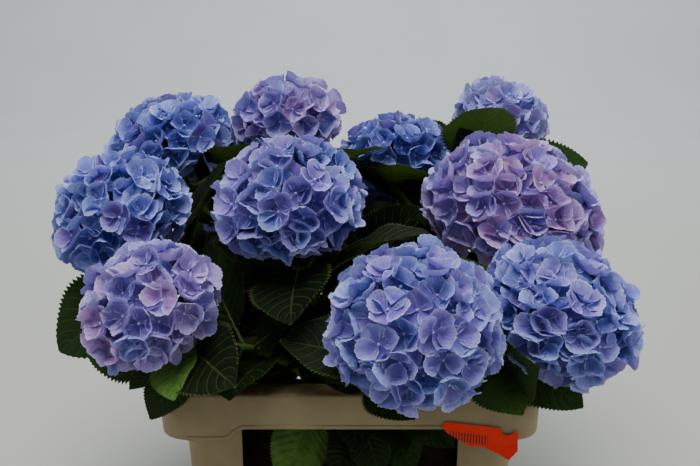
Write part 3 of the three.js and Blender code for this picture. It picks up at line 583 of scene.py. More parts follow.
def grow_small_leaves():
    """The placed leaves, then younger and lower ones by the rule, these clear of all that stands already."""
    blocked = solids_tree()
    grown, trees = [], []
    for i, (name, below, tip, facing, tint) in enumerate(PLACED_LEAVES):
        leaf = known_leaf(next(s for s in shoots if s.name == name), below, tip, facing)
        leaf.update(key=("placed", i), seed=SEEDS["placed"] + i, depth=below, tint=tint)
        grown.append(leaf)
        trees.append(coarse_leaf(leaf))
    for order, (below, length, angle) in enumerate(SMALL_PAIRS):
        for s, half in ((s, half) for s in shoots if below <= s.length - SMALL_LOWEST for half in range(2)):
            key = SMALL_NUMBER + 2 * order + half
            for attempt in range(len(TRIES)):
                leaf = leaf_plan(s, key, below, length, angle, s.turn + 45 + 90 * order, half, attempt)
                leaf.update(SMALL_LEAF)
                if off_the_plant(tip_of(leaf)):
                    continue
                tree = coarse_leaf(leaf)
                if tree.overlap(blocked) or any(tree.overlap(other) for other in trees):
                    continue
                leaf.update(key=(s.name, key), seed=SEEDS["small"] + 100 * s.index + key, depth=below)
                grown.append(leaf)
                trees.append(tree)
                break
    return grown


def leaf_tint(leaf):
    """The leaf's own green or one dealt to it, painted shade among them: lower leaves are mostly dealt the
    painted shade, so the lighter ones lie near the top.
    """
    near_top, mid_share, dark_share = 60, 0.22, 0.35
    if "tint" in leaf:
        return leaf["tint"]
    if leaf["key"] in LEAVES_IN_PAINTED_SHADE:
        return PAINTED_SHADE
    if leaf["key"] in LEAF_TINTS:
        return LEAF_TINTS[leaf["key"]]
    number = chance(leaf["seed"], 8, 1)
    if leaf["depth"] < near_top:
        return MID if number < mid_share else DARK
    return DARK if number < dark_share else PAINTED_SHADE


def make_leaves(name, leaves, looks, green):
    """The blades of those leaves in one piece, and their stalks in another."""
    blades, stalks = Batch(), Batch()
    for leaf in leaves:
        points, local = leaf_grid(leaf)
        blades.add(points, LEAF_FACES, leaf_tint(leaf), local)
        stalks.add(*stalk(leaf))
    return blades.make("leaves_" + name, looks, "leaf"), stalks.make("leaf_stalks_" + name, [green])


# Materials


class Look:
    """A node material under construction, with short calls for its nodes and its layers of colour."""

    def __init__(self, name, roughness, specular=0.5):
        self.material = bpy.data.materials.new(name)
        self.material.use_nodes = True
        self.tree = self.material.node_tree
        self.tree.nodes.clear()
        self.out = self.tree.nodes.new("ShaderNodeOutputMaterial")
        self.shader = self.tree.nodes.new("ShaderNodeBsdfPrincipled")
        self.rough(roughness)
        self.shader.inputs["Specular IOR Level"].default_value = specular
        self.tree.links.new(self.shader.outputs[0], self.out.inputs["Surface"])
        self.painted = None

    def put(self, socket, value):
        if isinstance(value, bpy.types.NodeSocket):
            self.tree.links.new(value, socket)
        elif value is not None:
            socket.default_value = (*value, 1) if isinstance(value, tuple) else value

    def node(self, kind, inputs, **settings):
        """A node with those settings; inputs maps the name or number of an input to a value or a socket."""
        node = self.tree.nodes.new("ShaderNode" + kind)
        for setting, value in settings.items():
            setattr(node, setting, value)
        for key, value in inputs.items():
            self.put(node.inputs[key], value)
        return node

    def pattern(self, name):
        """The two coordinates of a UV map."""
        node = self.node("UVMap", {}, uv_map=name)
        return self.node("SeparateXYZ", {0: node.outputs[0]}).outputs[:2]

    def place(self):
        return self.node("TexCoord", {}).outputs["Object"]

    def split(self, vector):
        return self.node("SeparateXYZ", {0: vector}).outputs

    def vector(self, x, y, z=0.0):
        return self.node("CombineXYZ", {0: x, 1: y, 2: z}).outputs[0]

    def scaled(self, x, y, wide, high, z=0.0):
        """The vector of two pattern coordinates, each drawn out by its factor."""
        return self.vector(self.times(x, wide), self.times(y, high), z)

    def math(self, operation, a, b=None, c=None):
        return self.node("Math", {0: a, 1: b, 2: c}, operation=operation).outputs[0]

    def times(self, a, b):
        return self.math("MULTIPLY", a, b)

    def plus(self, a, b):
        return self.math("ADD", a, b)

    def minus(self, a, b):
        return self.math("SUBTRACT", a, b)

    def larger(self, a, b):
        return self.math("MAXIMUM", a, b)

    def off_middle(self, value):
        """How far a value is from 0.5."""
        return self.math("ABSOLUTE", self.minus(value, 0.5))

    def ramp(self, value, low, high, to_low=0.0, to_high=1.0):
        inputs = dict(enumerate((value, low, high, to_low, to_high)))
        return self.node("MapRange", inputs, interpolation_type="SMOOTHSTEP", clamp=True).outputs[0]

    def noise(self, vector, scale, detail, roughness=0.55):
        inputs = {"Vector": vector, "Scale": scale, "Detail": detail, "Roughness": roughness}
        return self.node("TexNoise", inputs).outputs["Fac"]

    def cells(self, vector, scale, feature="F1"):
        inputs = {"Vector": vector, "Scale": scale}
        return self.node("TexVoronoi", inputs, feature=feature).outputs["Distance"]

    def mix(self, factor, a, b):
        """Two colours mixed; a Mix node keeps its colours at inputs 6 and 7 and at output 2."""
        return self.node("Mix", {0: factor, 6: a, 7: b}, data_type="RGBA").outputs[2]

    def paint(self, colour, mask=None, share=None):
        """Lays a colour over what is there, where the mask shows it and by that share."""
        if mask is None:
            self.painted = colour
        else:
            self.painted = self.mix(mask if share is None else self.times(mask, share), self.painted, colour)

    def rough(self, value):
        self.put(self.shader.inputs["Roughness"], value)

    def bump(self, height, strength, distance):
        node = self.node("Bump", {"Strength": strength, "Distance": distance, "Height": height})
        self.put(self.shader.inputs["Normal"], node.outputs[0])

    def glow_through(self, colour, share):
        """Some of the light comes through, as through a petal or a leaf."""
        through = self.node("BsdfTranslucent", {"Color": colour})
        both = self.node("MixShader", {0: share, 1: self.shader.outputs[0], 2: through.outputs[0]})
        self.put(self.out.inputs["Surface"], both.outputs[0])

    def finished(self):
        self.put(self.shader.inputs["Base Color"], self.painted)
        return self.material


def srgb(r, g, b):
    """A colour given as on a screen, 0 to 255, as a shader takes it."""
    return tuple(((c / 255 + 0.055) / 1.055) ** 2.4 if c > 10 else c / 255 / 12.92 for c in (r, g, b))


def blend(a, b, t):
    return tuple(x + (y - x) * t for x, y in zip(a, b))


PETAL_TINTS = {
    "blue": srgb(110, 123, 209),
    "cornflower": srgb(132, 146, 228),
    "sky": srgb(158, 170, 240),
    "periwinkle": srgb(154, 152, 230),
    "violet": srgb(140, 122, 208),
    "pale": srgb(184, 188, 248),
    "lavender": srgb(166, 150, 232),
    "lilac": srgb(192, 170, 236),
    "mauve": srgb(202, 164, 226),
    "pink": srgb(213, 169, 222),
}

# Each bloom's florets are dealt from four tints, by these shares.
PALETTES = {
    "deep_blue": (("blue", 0.4), ("cornflower", 0.35), ("sky", 0.15), ("violet", 0.1)),
    "blue": (("blue", 0.18), ("cornflower", 0.42), ("sky", 0.28), ("violet", 0.12)),
    "violet_blue": (("blue", 0.25), ("periwinkle", 0.4), ("violet", 0.2), ("lavender", 0.15)),
    "periwinkle": (("periwinkle", 0.4), ("sky", 0.3), ("lavender", 0.2), ("cornflower", 0.1)),
    "lavender": (("lilac", 0.34), ("lavender", 0.32), ("periwinkle", 0.2), ("mauve", 0.14)),
    "mauve": (("lilac", 0.34), ("mauve", 0.34), ("lavender", 0.2), ("pink", 0.12)),
    "pale": (("pale", 0.45), ("lilac", 0.2), ("periwinkle", 0.25), ("lavender", 0.1)),
}

LEAF_LOOKS = (
    ("dark", srgb(26, 50, 17), srgb(18, 37, 14)),
    ("mid", srgb(40, 70, 24), srgb(26, 50, 18)),
    ("bright", srgb(98, 134, 56), srgb(68, 102, 42)),
    # painted shade: a near-black green that stands for the shade deep in the crown
    ("shade", srgb(11, 23, 9), srgb(7, 16, 7)),
)


def petal_look(name, tint, seed):
    """A sepal: veins that fan out from its claw, painted shade that darkens it towards the claw, a powdery
    bloom, a paler frilled rim and a whitish heart.
    """
    look = Look("petal_" + name, roughness=0.8, specular=0.08)
    x, y = look.pattern("petal")
    streaks = look.noise(look.scaled(x, y, 30.0, 2.2, seed), 1.0, 2.0, 0.6)
    vein = look.times(look.ramp(look.off_middle(streaks), 0.0, 0.055, 1.0, 0.0), look.ramp(y, 0.1, 0.45))
    cloud = look.noise(look.scaled(x, y, 3.0, 2.0, seed + 7), 1.3, 3.0)
    powder = look.noise(look.scaled(x, y, 26.0, 20.0, seed + 3), 1.5, 4.0, 0.7)
    rim = look.larger(look.ramp(y, 0.92, 1.0), look.ramp(look.off_middle(x), 0.46, 0.5))
    deep = (tint[0] * 0.8, tint[1] * 0.66, tint[2] * 0.76)
    # A dark colour for the painted shade deep in the floret's throat, and for the veins.
    shade_and_vein = (tint[0] * 0.3, tint[1] * 0.27, tint[2] * 0.55)
    light = blend(tint, (0.58, 0.7, 1.0), 0.42)
    look.paint(deep)
    look.paint(tint, look.ramp(cloud, 0.35, 0.68))
    # Painted shade: darker towards the claw, where the floret's throat lies in shade.
    look.paint(shade_and_vein, look.ramp(y, 0.08, 0.62, 0.85, 0.0))
    look.paint(light, look.ramp(y, 0.45, 1.0, 0.0, 0.85))
    look.paint(deep, look.ramp(powder, 0.3, 0.55, 0.5, 0.0))
    look.paint(light, look.ramp(powder, 0.55, 0.8, 0.0, 0.3))
    look.paint(shade_and_vein, vein, 0.42)
    look.paint(blend(light, (0.9, 0.93, 1.0), 0.7), rim, 0.6)
    look.paint(srgb(190, 200, 220), look.ramp(y, 0.03, 0.16, 1.0, 0.0), 0.5)
    look.bump(look.plus(look.minus(cloud, look.times(vein, 0.7)), look.times(powder, 0.4)), 0.6, 0.001)
    look.glow_through(tint, 0.15)
    return look.finished()


def leaf_look(name, light, dark):
    """A leaf: paler midrib and curved side veins in grooves, quilted green between them and a finer net."""
    look = Look("leaf_" + name, roughness=0.55, specular=0.08 if name == "shade" else 0.15)
    x, y = look.pattern("leaf")
    out = look.times(look.off_middle(x), 2.0)
    ease = look.math("MULTIPLY_ADD", y, -VEIN_EASE * VEIN_SLANT, VEIN_SLANT)
    wave = look.times(look.minus(y, look.times(look.math("POWER", out, VEIN_CURVE), ease)), VEINS)
    gap = look.off_middle(look.math("FRACT", look.plus(wave, 0.5)))
    side = look.times(look.ramp(gap, 0.02, 0.075, 1.0, 0.0), look.ramp(out, 0.75, 1.0, 1.0, 0.25))
    vein = look.larger(side, look.ramp(out, 0.015, 0.05, 1.0, 0.0))
    mesh = look.cells(look.scaled(x, y, 15.0, 20.0), 1.0, "DISTANCE_TO_EDGE")
    net = look.ramp(mesh, 0.0, 0.09, 1.0, 0.0)
    cloud = look.noise(look.scaled(x, y, 4.0, 5.0), 1.6, 4.0)
    edge = look.larger(look.ramp(out, 0.955, 1.0), look.ramp(y, 0.985, 1.0))
    look.paint(dark)
    look.paint(light, look.ramp(cloud, 0.3, 0.7))
    look.paint(light, look.ramp(gap, 0.1, 0.5), 0.35)
    look.paint(dark, net, 0.18)
    look.paint(blend(light, srgb(150, 168, 96), 0.3), vein, 0.3)
    look.paint(srgb(118, 136, 66), edge, 0.5)
    look.rough(look.ramp(cloud, 0.3, 0.7, 0.5, 0.64))
    height = look.minus(look.times(look.ramp(gap, 0.0, 0.5), 0.5), look.times(vein, 0.6))
    look.bump(look.minus(height, look.times(net, 0.12)), 0.7, 0.0016)
    look.glow_through(blend(light, srgb(120, 160, 50), 0.4), 0.12)
    return look.finished()


def bark_look(name, low, high, green=None):
    """Bark that is drawn out along the stem, with pale specks."""
    look = Look(name, roughness=0.8, specular=0.25)
    spot = look.place()
    x, y, z = look.split(spot)
    streak = look.noise(look.vector(x, y, look.times(z, 0.22)), 900, 4.0, 0.65)
    speck = look.ramp(look.cells(spot, 330), 0.1, 0.2, 1.0, 0.0)
    look.paint(low)
    look.paint(high, look.ramp(streak, 0.35, 0.65))
    if green:
        look.paint(green, look.ramp(look.noise(spot, 60, 4.0), 0.42, 0.6))
    look.paint(srgb(178, 170, 140), speck, 0.3)
    look.bump(look.plus(streak, look.times(speck, 0.4)), 0.6, 0.0008)
    return look.finished()


def soil_look():
    look = Look("soil_crumbs", roughness=0.95, specular=0.2)
    spot = look.place()
    grain = look.noise(spot, 420, 6.0, 0.7)
    look.paint(srgb(28, 21, 16))
    look.paint(srgb(66, 50, 37), look.ramp(grain, 0.35, 0.7))
    look.paint(srgb(120, 104, 82), look.ramp(look.noise(spot, 260, 2.0), 0.66, 0.72), 0.5)
    look.bump(look.plus(grain, look.times(look.cells(spot, 190), 0.8)), 1.0, 0.003)
    return look.finished()


def cream_look():
    """Cream moulded plastic: a fine texture, grime low down, scuffs, patchy painted shade along the top of
    the rim and rusty stains on the rim.
    """
    look = Look("cream_moulding", roughness=0.5, specular=0.4)
    spot = look.place()
    x, y, z = look.split(spot)
    top = CRATE["height"] * MM
    cloud = look.noise(spot, 9, 5.0, 0.6)
    scuff = look.ramp(look.noise(look.vector(x, y, look.times(z, 5.0)), 55, 6.0, 0.75), 0.6, 0.72)
    grime = look.times(look.ramp(z, 0.0, 0.09, 1.0, 0.0), look.ramp(cloud, 0.4, 0.6))
    rim_shade_strength = look.ramp(look.noise(spot, 60, 4.0, 0.7), 0.35, 0.65, 0.5, 0.9)
    stain = look.ramp(look.noise(spot, 38, 3.0, 0.6), 0.56, 0.62)
    specks = look.ramp(look.cells(spot, 120), 0.05, 0.09, 1.0, 0.0)
    specks = look.times(specks, look.ramp(look.noise(spot, 25, 2.0), 0.55, 0.62))
    look.paint(srgb(124, 109, 76))
    look.paint(srgb(144, 129, 94), look.ramp(cloud, 0.3, 0.7))
    look.paint(srgb(122, 108, 76), scuff, 0.35)
    look.paint(srgb(120, 108, 82), grime, 0.4)
    # Painted shade, patchy, darkening the top of the rim.
    look.paint(srgb(92, 82, 52), look.times(look.ramp(z, top - 0.0055, top - 0.001), rim_shade_strength))
    look.paint(srgb(112, 62, 34), look.times(look.ramp(z, top - 0.0038, top - 0.0012), stain), 0.75)
    look.paint(srgb(96, 80, 54), specks, 0.55)
    look.rough(look.ramp(cloud, 0.3, 0.7, 0.42, 0.6))
    look.bump(look.plus(look.noise(spot, 700, 3.0), look.times(scuff, 0.5)), 0.22, 0.0004)
    return look.finished()


def black_look():
    look = Look("black_moulding", roughness=0.6, specular=0.4)
    spot = look.place()
    look.paint(srgb(20, 20, 19))
    look.paint(srgb(58, 52, 44), look.ramp(look.noise(spot, 30, 5.0, 0.7), 0.5, 0.75), 0.5)
    look.bump(look.noise(spot, 500, 3.0), 0.3, 0.0005)
    return look.finished()


def label_look():
    """Orange paper label with creases and plain dark bars that stand for no code."""
    look = Look("orange_label", roughness=0.55, specular=0.35)
    x, y = look.pattern("label")
    fibre = look.noise(look.scaled(x, y, 40.0, 22.0), 2.0, 4.0)
    level = look.math("MULTIPLY_ADD", x, 0.28, y)
    bars = look.math("GREATER_THAN", look.math("FRACT", look.times(x, 26.0)), 0.5)
    inside = look.times(look.ramp(x, 0.08, 0.085), look.ramp(x, 0.6, 0.605, 1.0, 0.0))
    between = look.times(look.ramp(level, 0.52, 0.53), look.ramp(level, 0.78, 0.79, 1.0, 0.0))
    look.paint(srgb(206, 24, 10))
    look.paint(srgb(234, 38, 16), look.ramp(fibre, 0.3, 0.7))
    look.paint(srgb(40, 16, 14), look.times(bars, look.times(inside, between)), 0.85)
    look.bump(look.noise(look.scaled(x, y, 5.0, 3.0), 1.5, 3.0), 0.5, 0.002)
    return look.finished()


def studio_look():
    look = Look("studio_paper", roughness=0.9, specular=0.1)
    spot = look.place()
    look.paint(srgb(184, 191, 191))
    look.paint(srgb(188, 195, 195), look.ramp(look.noise(spot, 3, 3.0), 0.3, 0.7))
    # Painted shade: the floor darker and warmer in front, fading out towards the wall.
    look.paint(srgb(170, 171, 162), look.ramp(look.split(spot)[1], 0.5, 2.6, 0.75, 0.0))
    return look.finished()


def bead_look():
    look = Look("bead", roughness=0.5)
    look.paint(srgb(150, 160, 206))
    look.paint(srgb(206, 214, 222), look.ramp(look.noise(look.place(), 600, 2.0), 0.3, 0.7))
    return look.finished()


# Blooms

USUAL_RADIUS = 85
FLORETS = 92  # on a bloom of the usual radius
FLORET_SIZE = 26.0
FLORET_TILT = 0.85
FLORET_SAG = 0.7  # how much of the dome's own curve a floret takes on
NEIGHBOURS = 8
OWN_TINT = 0.8  # the share of sepals that have their floret's tint
EYE_LIFT = 0.9
SEPAL_ROWS = np.array([0, 0.3, 0.6, 0.85, 1])[:, None]
SEPAL_COLUMNS = 19
SEPAL_FAN = np.linspace(-1, 1, SEPAL_COLUMNS)[None, :]
SEPAL_TEETH = np.where(np.arange(SEPAL_COLUMNS) % 2 == 1, 0.038, -0.03)[None, :]
SEPAL_HALF = math.radians(62)
SEPAL_FACES = grid_faces(len(SEPAL_ROWS), SEPAL_COLUMNS)
SEPAL_UV = np.stack(np.broadcast_arrays((SEPAL_FAN + 1) / 2, SEPAL_ROWS), -1).reshape(-1, 2)
SUNK = 11.0  # how far the eye of the foremost florets lies below the bloom's outline
LAYERS = (0.0, 8.0, 4.0)  # and how much deeper the next ones in the spiral


def pressed_planes(s):
    """Where two blooms press on each other, each stops short of the plane between them."""
    planes = []
    for other in shoots:
        if other is s:
            continue
        to_other = other.centre - s.centre
        distance = np.linalg.norm(to_other)
        to_other = to_other / distance
        mine, theirs = s.reach(to_other), other.reach(-to_other)
        if mine + theirs >= distance - BLOOM["touching"]:
            share = distance * mine / (mine + theirs) - BLOOM["press_gap"] / 2
            planes.append((s.centre + to_other * share, to_other))
    return planes


def deal(shares, number):
    """Which entry of a list of (name, share) a number from 0 to 1 falls on."""
    total = 0.0
    for i, (_, share) in enumerate(shares):
        total += share
        if number < total:
            return i
    return len(shares) - 1


def sepal(seed, k, spin, size):
    """One sepal in its floret's own plane: along its two directions, and up."""
    fan, row = SEPAL_FAN, SEPAL_ROWS
    luck = [chance(seed, k, n) for n in range(8)]
    length = size * (0.92 + 0.16 * luck[0])
    middle = spin + k * math.pi / 2 + 0.16 * (luck[1] - 0.5)
    half = SEPAL_HALF * (0.92 + 0.16 * luck[2])
    outline = np.cos(fan * math.pi / 2 * 0.97) ** 0.36 * (1 + SEPAL_TEETH * row**6)
    outline = outline * (1 - 0.06 * np.exp(-((fan / 0.14) ** 2)) * (luck[3] > 0.45) * row**4)
    out = row * outline * length
    angle = middle + fan * half * (0.78 + 0.22 * row)
    share = out / length
    rise = 5.0 + 13.0 * luck[4] ** 1.3
    up = rise * share**1.7
    up = up - rise * (0.2 + 0.9 * luck[5]) * np.maximum(0, share - 0.6) ** 2 * 3.2
    wave = 3.1 * share**2 * np.sin((2.6 + 1.6 * luck[3]) * fan + ANY_PHASE * luck[6])
    frill = 1.1 * share**4 * np.sin(10 * fan + ANY_PHASE * luck[7])
    belly = -3.4 * np.cos(fan * math.pi / 2) * np.sin(np.pi * share) * (luck[2] + 0.1)
    up = up + 2.2 * fan**2 * share
    layer = 0.9 if k % 2 else -0.5
    up = up + wave + frill + belly + layer * np.minimum(1, 4 * share) * (1 - 0.3 * share)
    return np.stack([out * np.cos(angle), out * np.sin(angle), up], -1).reshape(-1, 3)


def place_florets(s):
    """The place, facing and depth of each floret, on a spiral over the dome."""
    count = round(FLORETS * (s.radius / USUAL_RADIUS) ** 2)
    lowest = math.cos(math.radians(BLOOM["lowest"]))
    stray, swing, depth = 0.07, 0.2, 4
    florets = []
    for i in range(count):
        a, b, c, *tilt = (chance(SEEDS["spiral"] + s.index, i, n) for n in (0, 1, 2, 4, 5, 6))
        polar = math.acos(1 - (i + 0.5) / count * (1 - lowest)) + stray * (a - 0.5)
        turning = i * GOLDEN_ANGLE + swing * (b - 0.5) / max(0.3, math.sin(polar))
        sunk = SUNK + LAYERS[i % 3] + depth * c
        normal = s.dome_normal(polar, turning)
        tilt = np.array(tilt) - 0.5
        facing = unit(normal + FLORET_TILT * (tilt - normal * (tilt @ normal)))
        florets.append((s.dome(polar, turning, 1 - sunk / s.radius), facing, sunk))
    return florets


def pressed_together(points, i, florets, axes, size, seed):
    """A floret's points where it meets its neighbours: held back, with rims that rise."""
    near, same_level, squash = 2.2 * size, 5, 0.3
    place, _, sunk = florets[i]
    offsets = np.array([f[0] for f in florets]) - place
    flat = np.stack([offsets @ axes[0], offsets @ axes[1]], -1)
    apart = np.linalg.norm(offsets, axis=1)
    for j in np.argsort(apart)[1:NEIGHBOURS + 1]:
        if apart[j] >= near:
            continue
        way = flat[j] / max(1e-6, np.linalg.norm(flat[j]))
        room = 0.5 * apart[j] * (0.96 + 0.2 * chance(seed, 20 + j, 1))
        over = np.maximum(0, points[:, :2] @ way - room)
        level = math.exp(-(((sunk - florets[j][2]) / same_level) ** 2))
        held_back = 0.25 + 0.55 * level
        raised = 0.95 * level + (0.25 if sunk < florets[j][2] else -0.1)
        points[:, :2] -= held_back * over[:, None] * way
        points[:, 2] += raised * over
    points[:, 2] = np.minimum(points[:, 2], SUNK + squash * (points[:, 2] - SUNK))
    return points


def make_bloom(s, florets, materials):
    """Four-sepalled florets over the dome, each a cup whose rims rise where it meets its neighbours."""
    planes, palette = pressed_planes(s), PALETTES[s.palette]
    batch, eyes = Batch(), []
    for i, (place, facing, _) in enumerate(florets):
        first, second = square_to(facing)
        seed = SEEDS["florets"] + 100 * s.index + i
        size = FLORET_SIZE * (0.88 + 0.22 * chance(seed, 9, 1)) * (0.9 + 0.1 * s.radius / USUAL_RADIUS)
        spin = chance(seed, 9, 2) * math.pi
        points = np.concatenate([sepal(seed, k, spin, size) for k in range(4)])
        points = pressed_together(points, i, florets, (first, second), size, seed)
        points[:, 2] -= FLORET_SAG * (points[:, 0] ** 2 + points[:, 1] ** 2) / (2 * s.radius)
        world = place + points @ np.array([first, second, facing])
        for origin, away in planes:
            world = world - away * np.maximum(0, (world - origin) @ away)[:, None]
        tint = deal(palette, chance(seed, 9, 3))
        for k, part in enumerate(np.split(world, 4)):
            own = chance(seed, 9, 30 + k) < OWN_TINT
            batch.add(part, SEPAL_FACES, tint if own else deal(palette, chance(seed, 9, 40 + k)), SEPAL_UV)
        eyes.append((place + facing * EYE_LIFT, facing, seed))
    return batch.make("petals_" + s.name, materials, "petal"), eyes


def make_hearts(eyes, material):
    """The small bead in the eye of every floret."""
    rings, sides = 3, 5
    batch = Batch()
    for place, facing, seed in eyes:
        first, second = square_to(facing)
        size = 1.5 + 0.5 * chance(seed, 9, 50)
        bead = []
        for polar in np.linspace(0, math.pi, rings + 1):
            centre = place + facing * (0.8 + 0.9 * size * math.cos(polar))
            bead.append((centre, first, second, size * math.sin(polar)))
        batch.add(*tube(bead, sides))
    return batch.make("floret_beads", [material])


def add_stalks(batch, s, florets):
    """The bloom's own branching: a stalk from the neck, and a thin one to the back of each floret."""
    fork_depth, start, sides = 0.3, 0.06, 5
    fork = s.centre - s.axis * fork_depth * s.radius
    routes = [(s.neck + s.axis * SEAT_GAP, fork, 3.4, 3.0)]
    routes += [(fork + (place - fork) * start, place, 1.5, 0.8) for place, _, _ in florets]
    for foot, end, wide, thin in routes:
        across = square_to(unit(end - foot))
        batch.add(*tube([(foot, *across, wide), (end, *across, thin)], sides))


# Canes, stems and the woody stool


def make_canes(name, material):
    """Canes or leafy stems: round, swollen at each leaf pair, ridged and slightly uneven."""
    sides, step = 14, 3.0
    swelling, swollen, relief = 0.32, 5, 0.05
    batch = Batch()
    for s in shoots:
        low, high = (0.0, s.split - SEAT_GAP / s.length) if name == "canes" else (s.split, 1.0)
        shares = np.linspace(low, high, max(8, int((high - low) * s.length / step)) + 1)
        pairs = [PAIRS[p][0] for p in s.pairs] + [below for below, _, _ in SMALL_PAIRS]
        rings = []
        for i, (share, frame_here) in enumerate(zip(shares, s.curve.frames(shares))):
            below = (1 - share) * s.length
            radius = np.interp(share, (0, s.split, 1), (STEM["base"], STEM["split"], STEM["tip"]))
            swell = sum(swelling * math.exp(-(((below - b) / swollen) ** 2)) for b in pairs)
            grit = np.array([chance(s.index, i, 200 + k) for k in range(sides)]) - 0.5
            ridge = relief * np.sin(4 * circle(sides) + 0.05 * below) + relief * grit
            rings.append((*frame_here, radius * (1 + swell + ridge)))
        batch.add(*tube(rings, sides))
    return batch.make(name, [material])


def make_stool(material):
    """The woody stool with its relief of ridges and knobs."""
    rows, sides = 30, 72
    cap_radius, cap_rise = 4, 0.4
    foot = SOIL_TOP + SEAT_GAP
    shares, radii = zip(*STOOL["levels"])
    a = circle(sides)
    rings = []
    for r in range(rows + 1):
        share = r / rows
        ridge = 0.05 * np.sin(9 * a + 2.2 * math.sin(5 * share)) + 0.03 * np.sin(23 * a - 6 * share)
        knob = 0.09 * np.sin(3 * a + 1.3) * math.sin(math.pi * share)
        grit = 0.03 * (np.array([chance(SEEDS["stool"], r, k) for k in range(sides)]) - 0.5)
        radius = np.interp(share, shares, radii) * (0.96 + ridge + knob + grit)
        rings.append(((STOOL["lean"] * share, 0, foot + share * STOOL["height"]), RIGHT, BACK, radius))
    rings.append(((STOOL["lean"], 0, foot + STOOL["height"] + cap_rise), RIGHT, BACK, cap_radius))
    return mesh_object("stool_bark", *tube(rings, sides), [material])


# Pot and soil

ARC = 10
SAME_POINT = 2e-5  # metres
FLAT = math.radians(0.6)
BEVELLED = math.radians(36)
SHARP = math.radians(34)


def rounded_outline(half_x, half_y, corner, z):
    """A rectangle with rounded corners, counter-clockwise from above."""
    points = []
    for quarter, (sx, sy) in enumerate(((1, 1), (-1, 1), (-1, -1), (1, -1))):
        for i in range(ARC + 1):
            angle = (quarter + i / ARC) * math.pi / 2
            x = sx * (half_x - corner) + corner * math.cos(angle)
            points.append((x, sy * (half_y - corner) + corner * math.sin(angle), z))
    return points


def skinned(name, rings, material):
    """A closed body over rings of equal point counts, from the lowest to the highest."""
    count = len(rings[0])
    shape = bmesh.new()
    points = [[shape.verts.new(Vector(p) * MM) for p in ring] for ring in rings]
    for low, high in zip(points, points[1:]):
        for i in range(count):
            n = (i + 1) % count
            shape.faces.new((low[i], low[n], high[n], high[i]))
    shape.faces.new(points[0][::-1])
    shape.faces.new(points[-1])
    mesh = bpy.data.meshes.new(name)
    shape.to_mesh(mesh)
    shape.free()
    mesh.materials.append(material)
    return linked(name, mesh)


def drafted_block(name, foot, top, corner, low, high, material):
    return skinned(name, [rounded_outline(*foot, corner, low), rounded_outline(*top, corner, high)], material)


def through_cut(name, outline, reach, turned_side, material):
    """A flat outline pushed right through the crate, along Y or along X."""
    rings = []
    for way in (-1, 1):
        rings.append([(way * reach, x, z) if turned_side else (x, -way * reach, z) for x, z in outline])
    return skinned(name, rings, material)


def combined(base, mode, others):
    """base cut by, or joined with, each of the others by turns; the others are used up."""
    for other in others:
        step = base.modifiers.new("combine", "BOOLEAN")
        step.operation = mode
        step.solver = "EXACT"
        step.object = other
        settle(base)
        bpy.data.objects.remove(other)


def settle(made):
    """Turns an object's modifiers into its mesh."""
    seen = made.evaluated_get(bpy.context.evaluated_depsgraph_get())
    final = bpy.data.meshes.new_from_object(seen)
    made.modifiers.clear()
    made.data = final


def rounded_edges(made, width, steps):
    """Merges the flat faces of a moulding and rounds its sharp edges; width is in millimetres."""
    shape = bmesh.new()
    shape.from_mesh(made.data)
    bmesh.ops.remove_doubles(shape, verts=shape.verts, dist=SAME_POINT)
    bmesh.ops.dissolve_limit(shape, angle_limit=FLAT, verts=shape.verts, edges=shape.edges)
    shape.to_mesh(made.data)
    shape.free()
    bevel = made.modifiers.new("round", "BEVEL")
    bevel.width = width * MM
    bevel.segments = steps
    bevel.limit_method = "ANGLE"
    bevel.angle_limit = BEVELLED
    settle(made)
    for polygon in made.data.polygons:
        polygon.use_smooth = True
    made.data.set_sharp_from_angle(angle=SHARP)
    return made


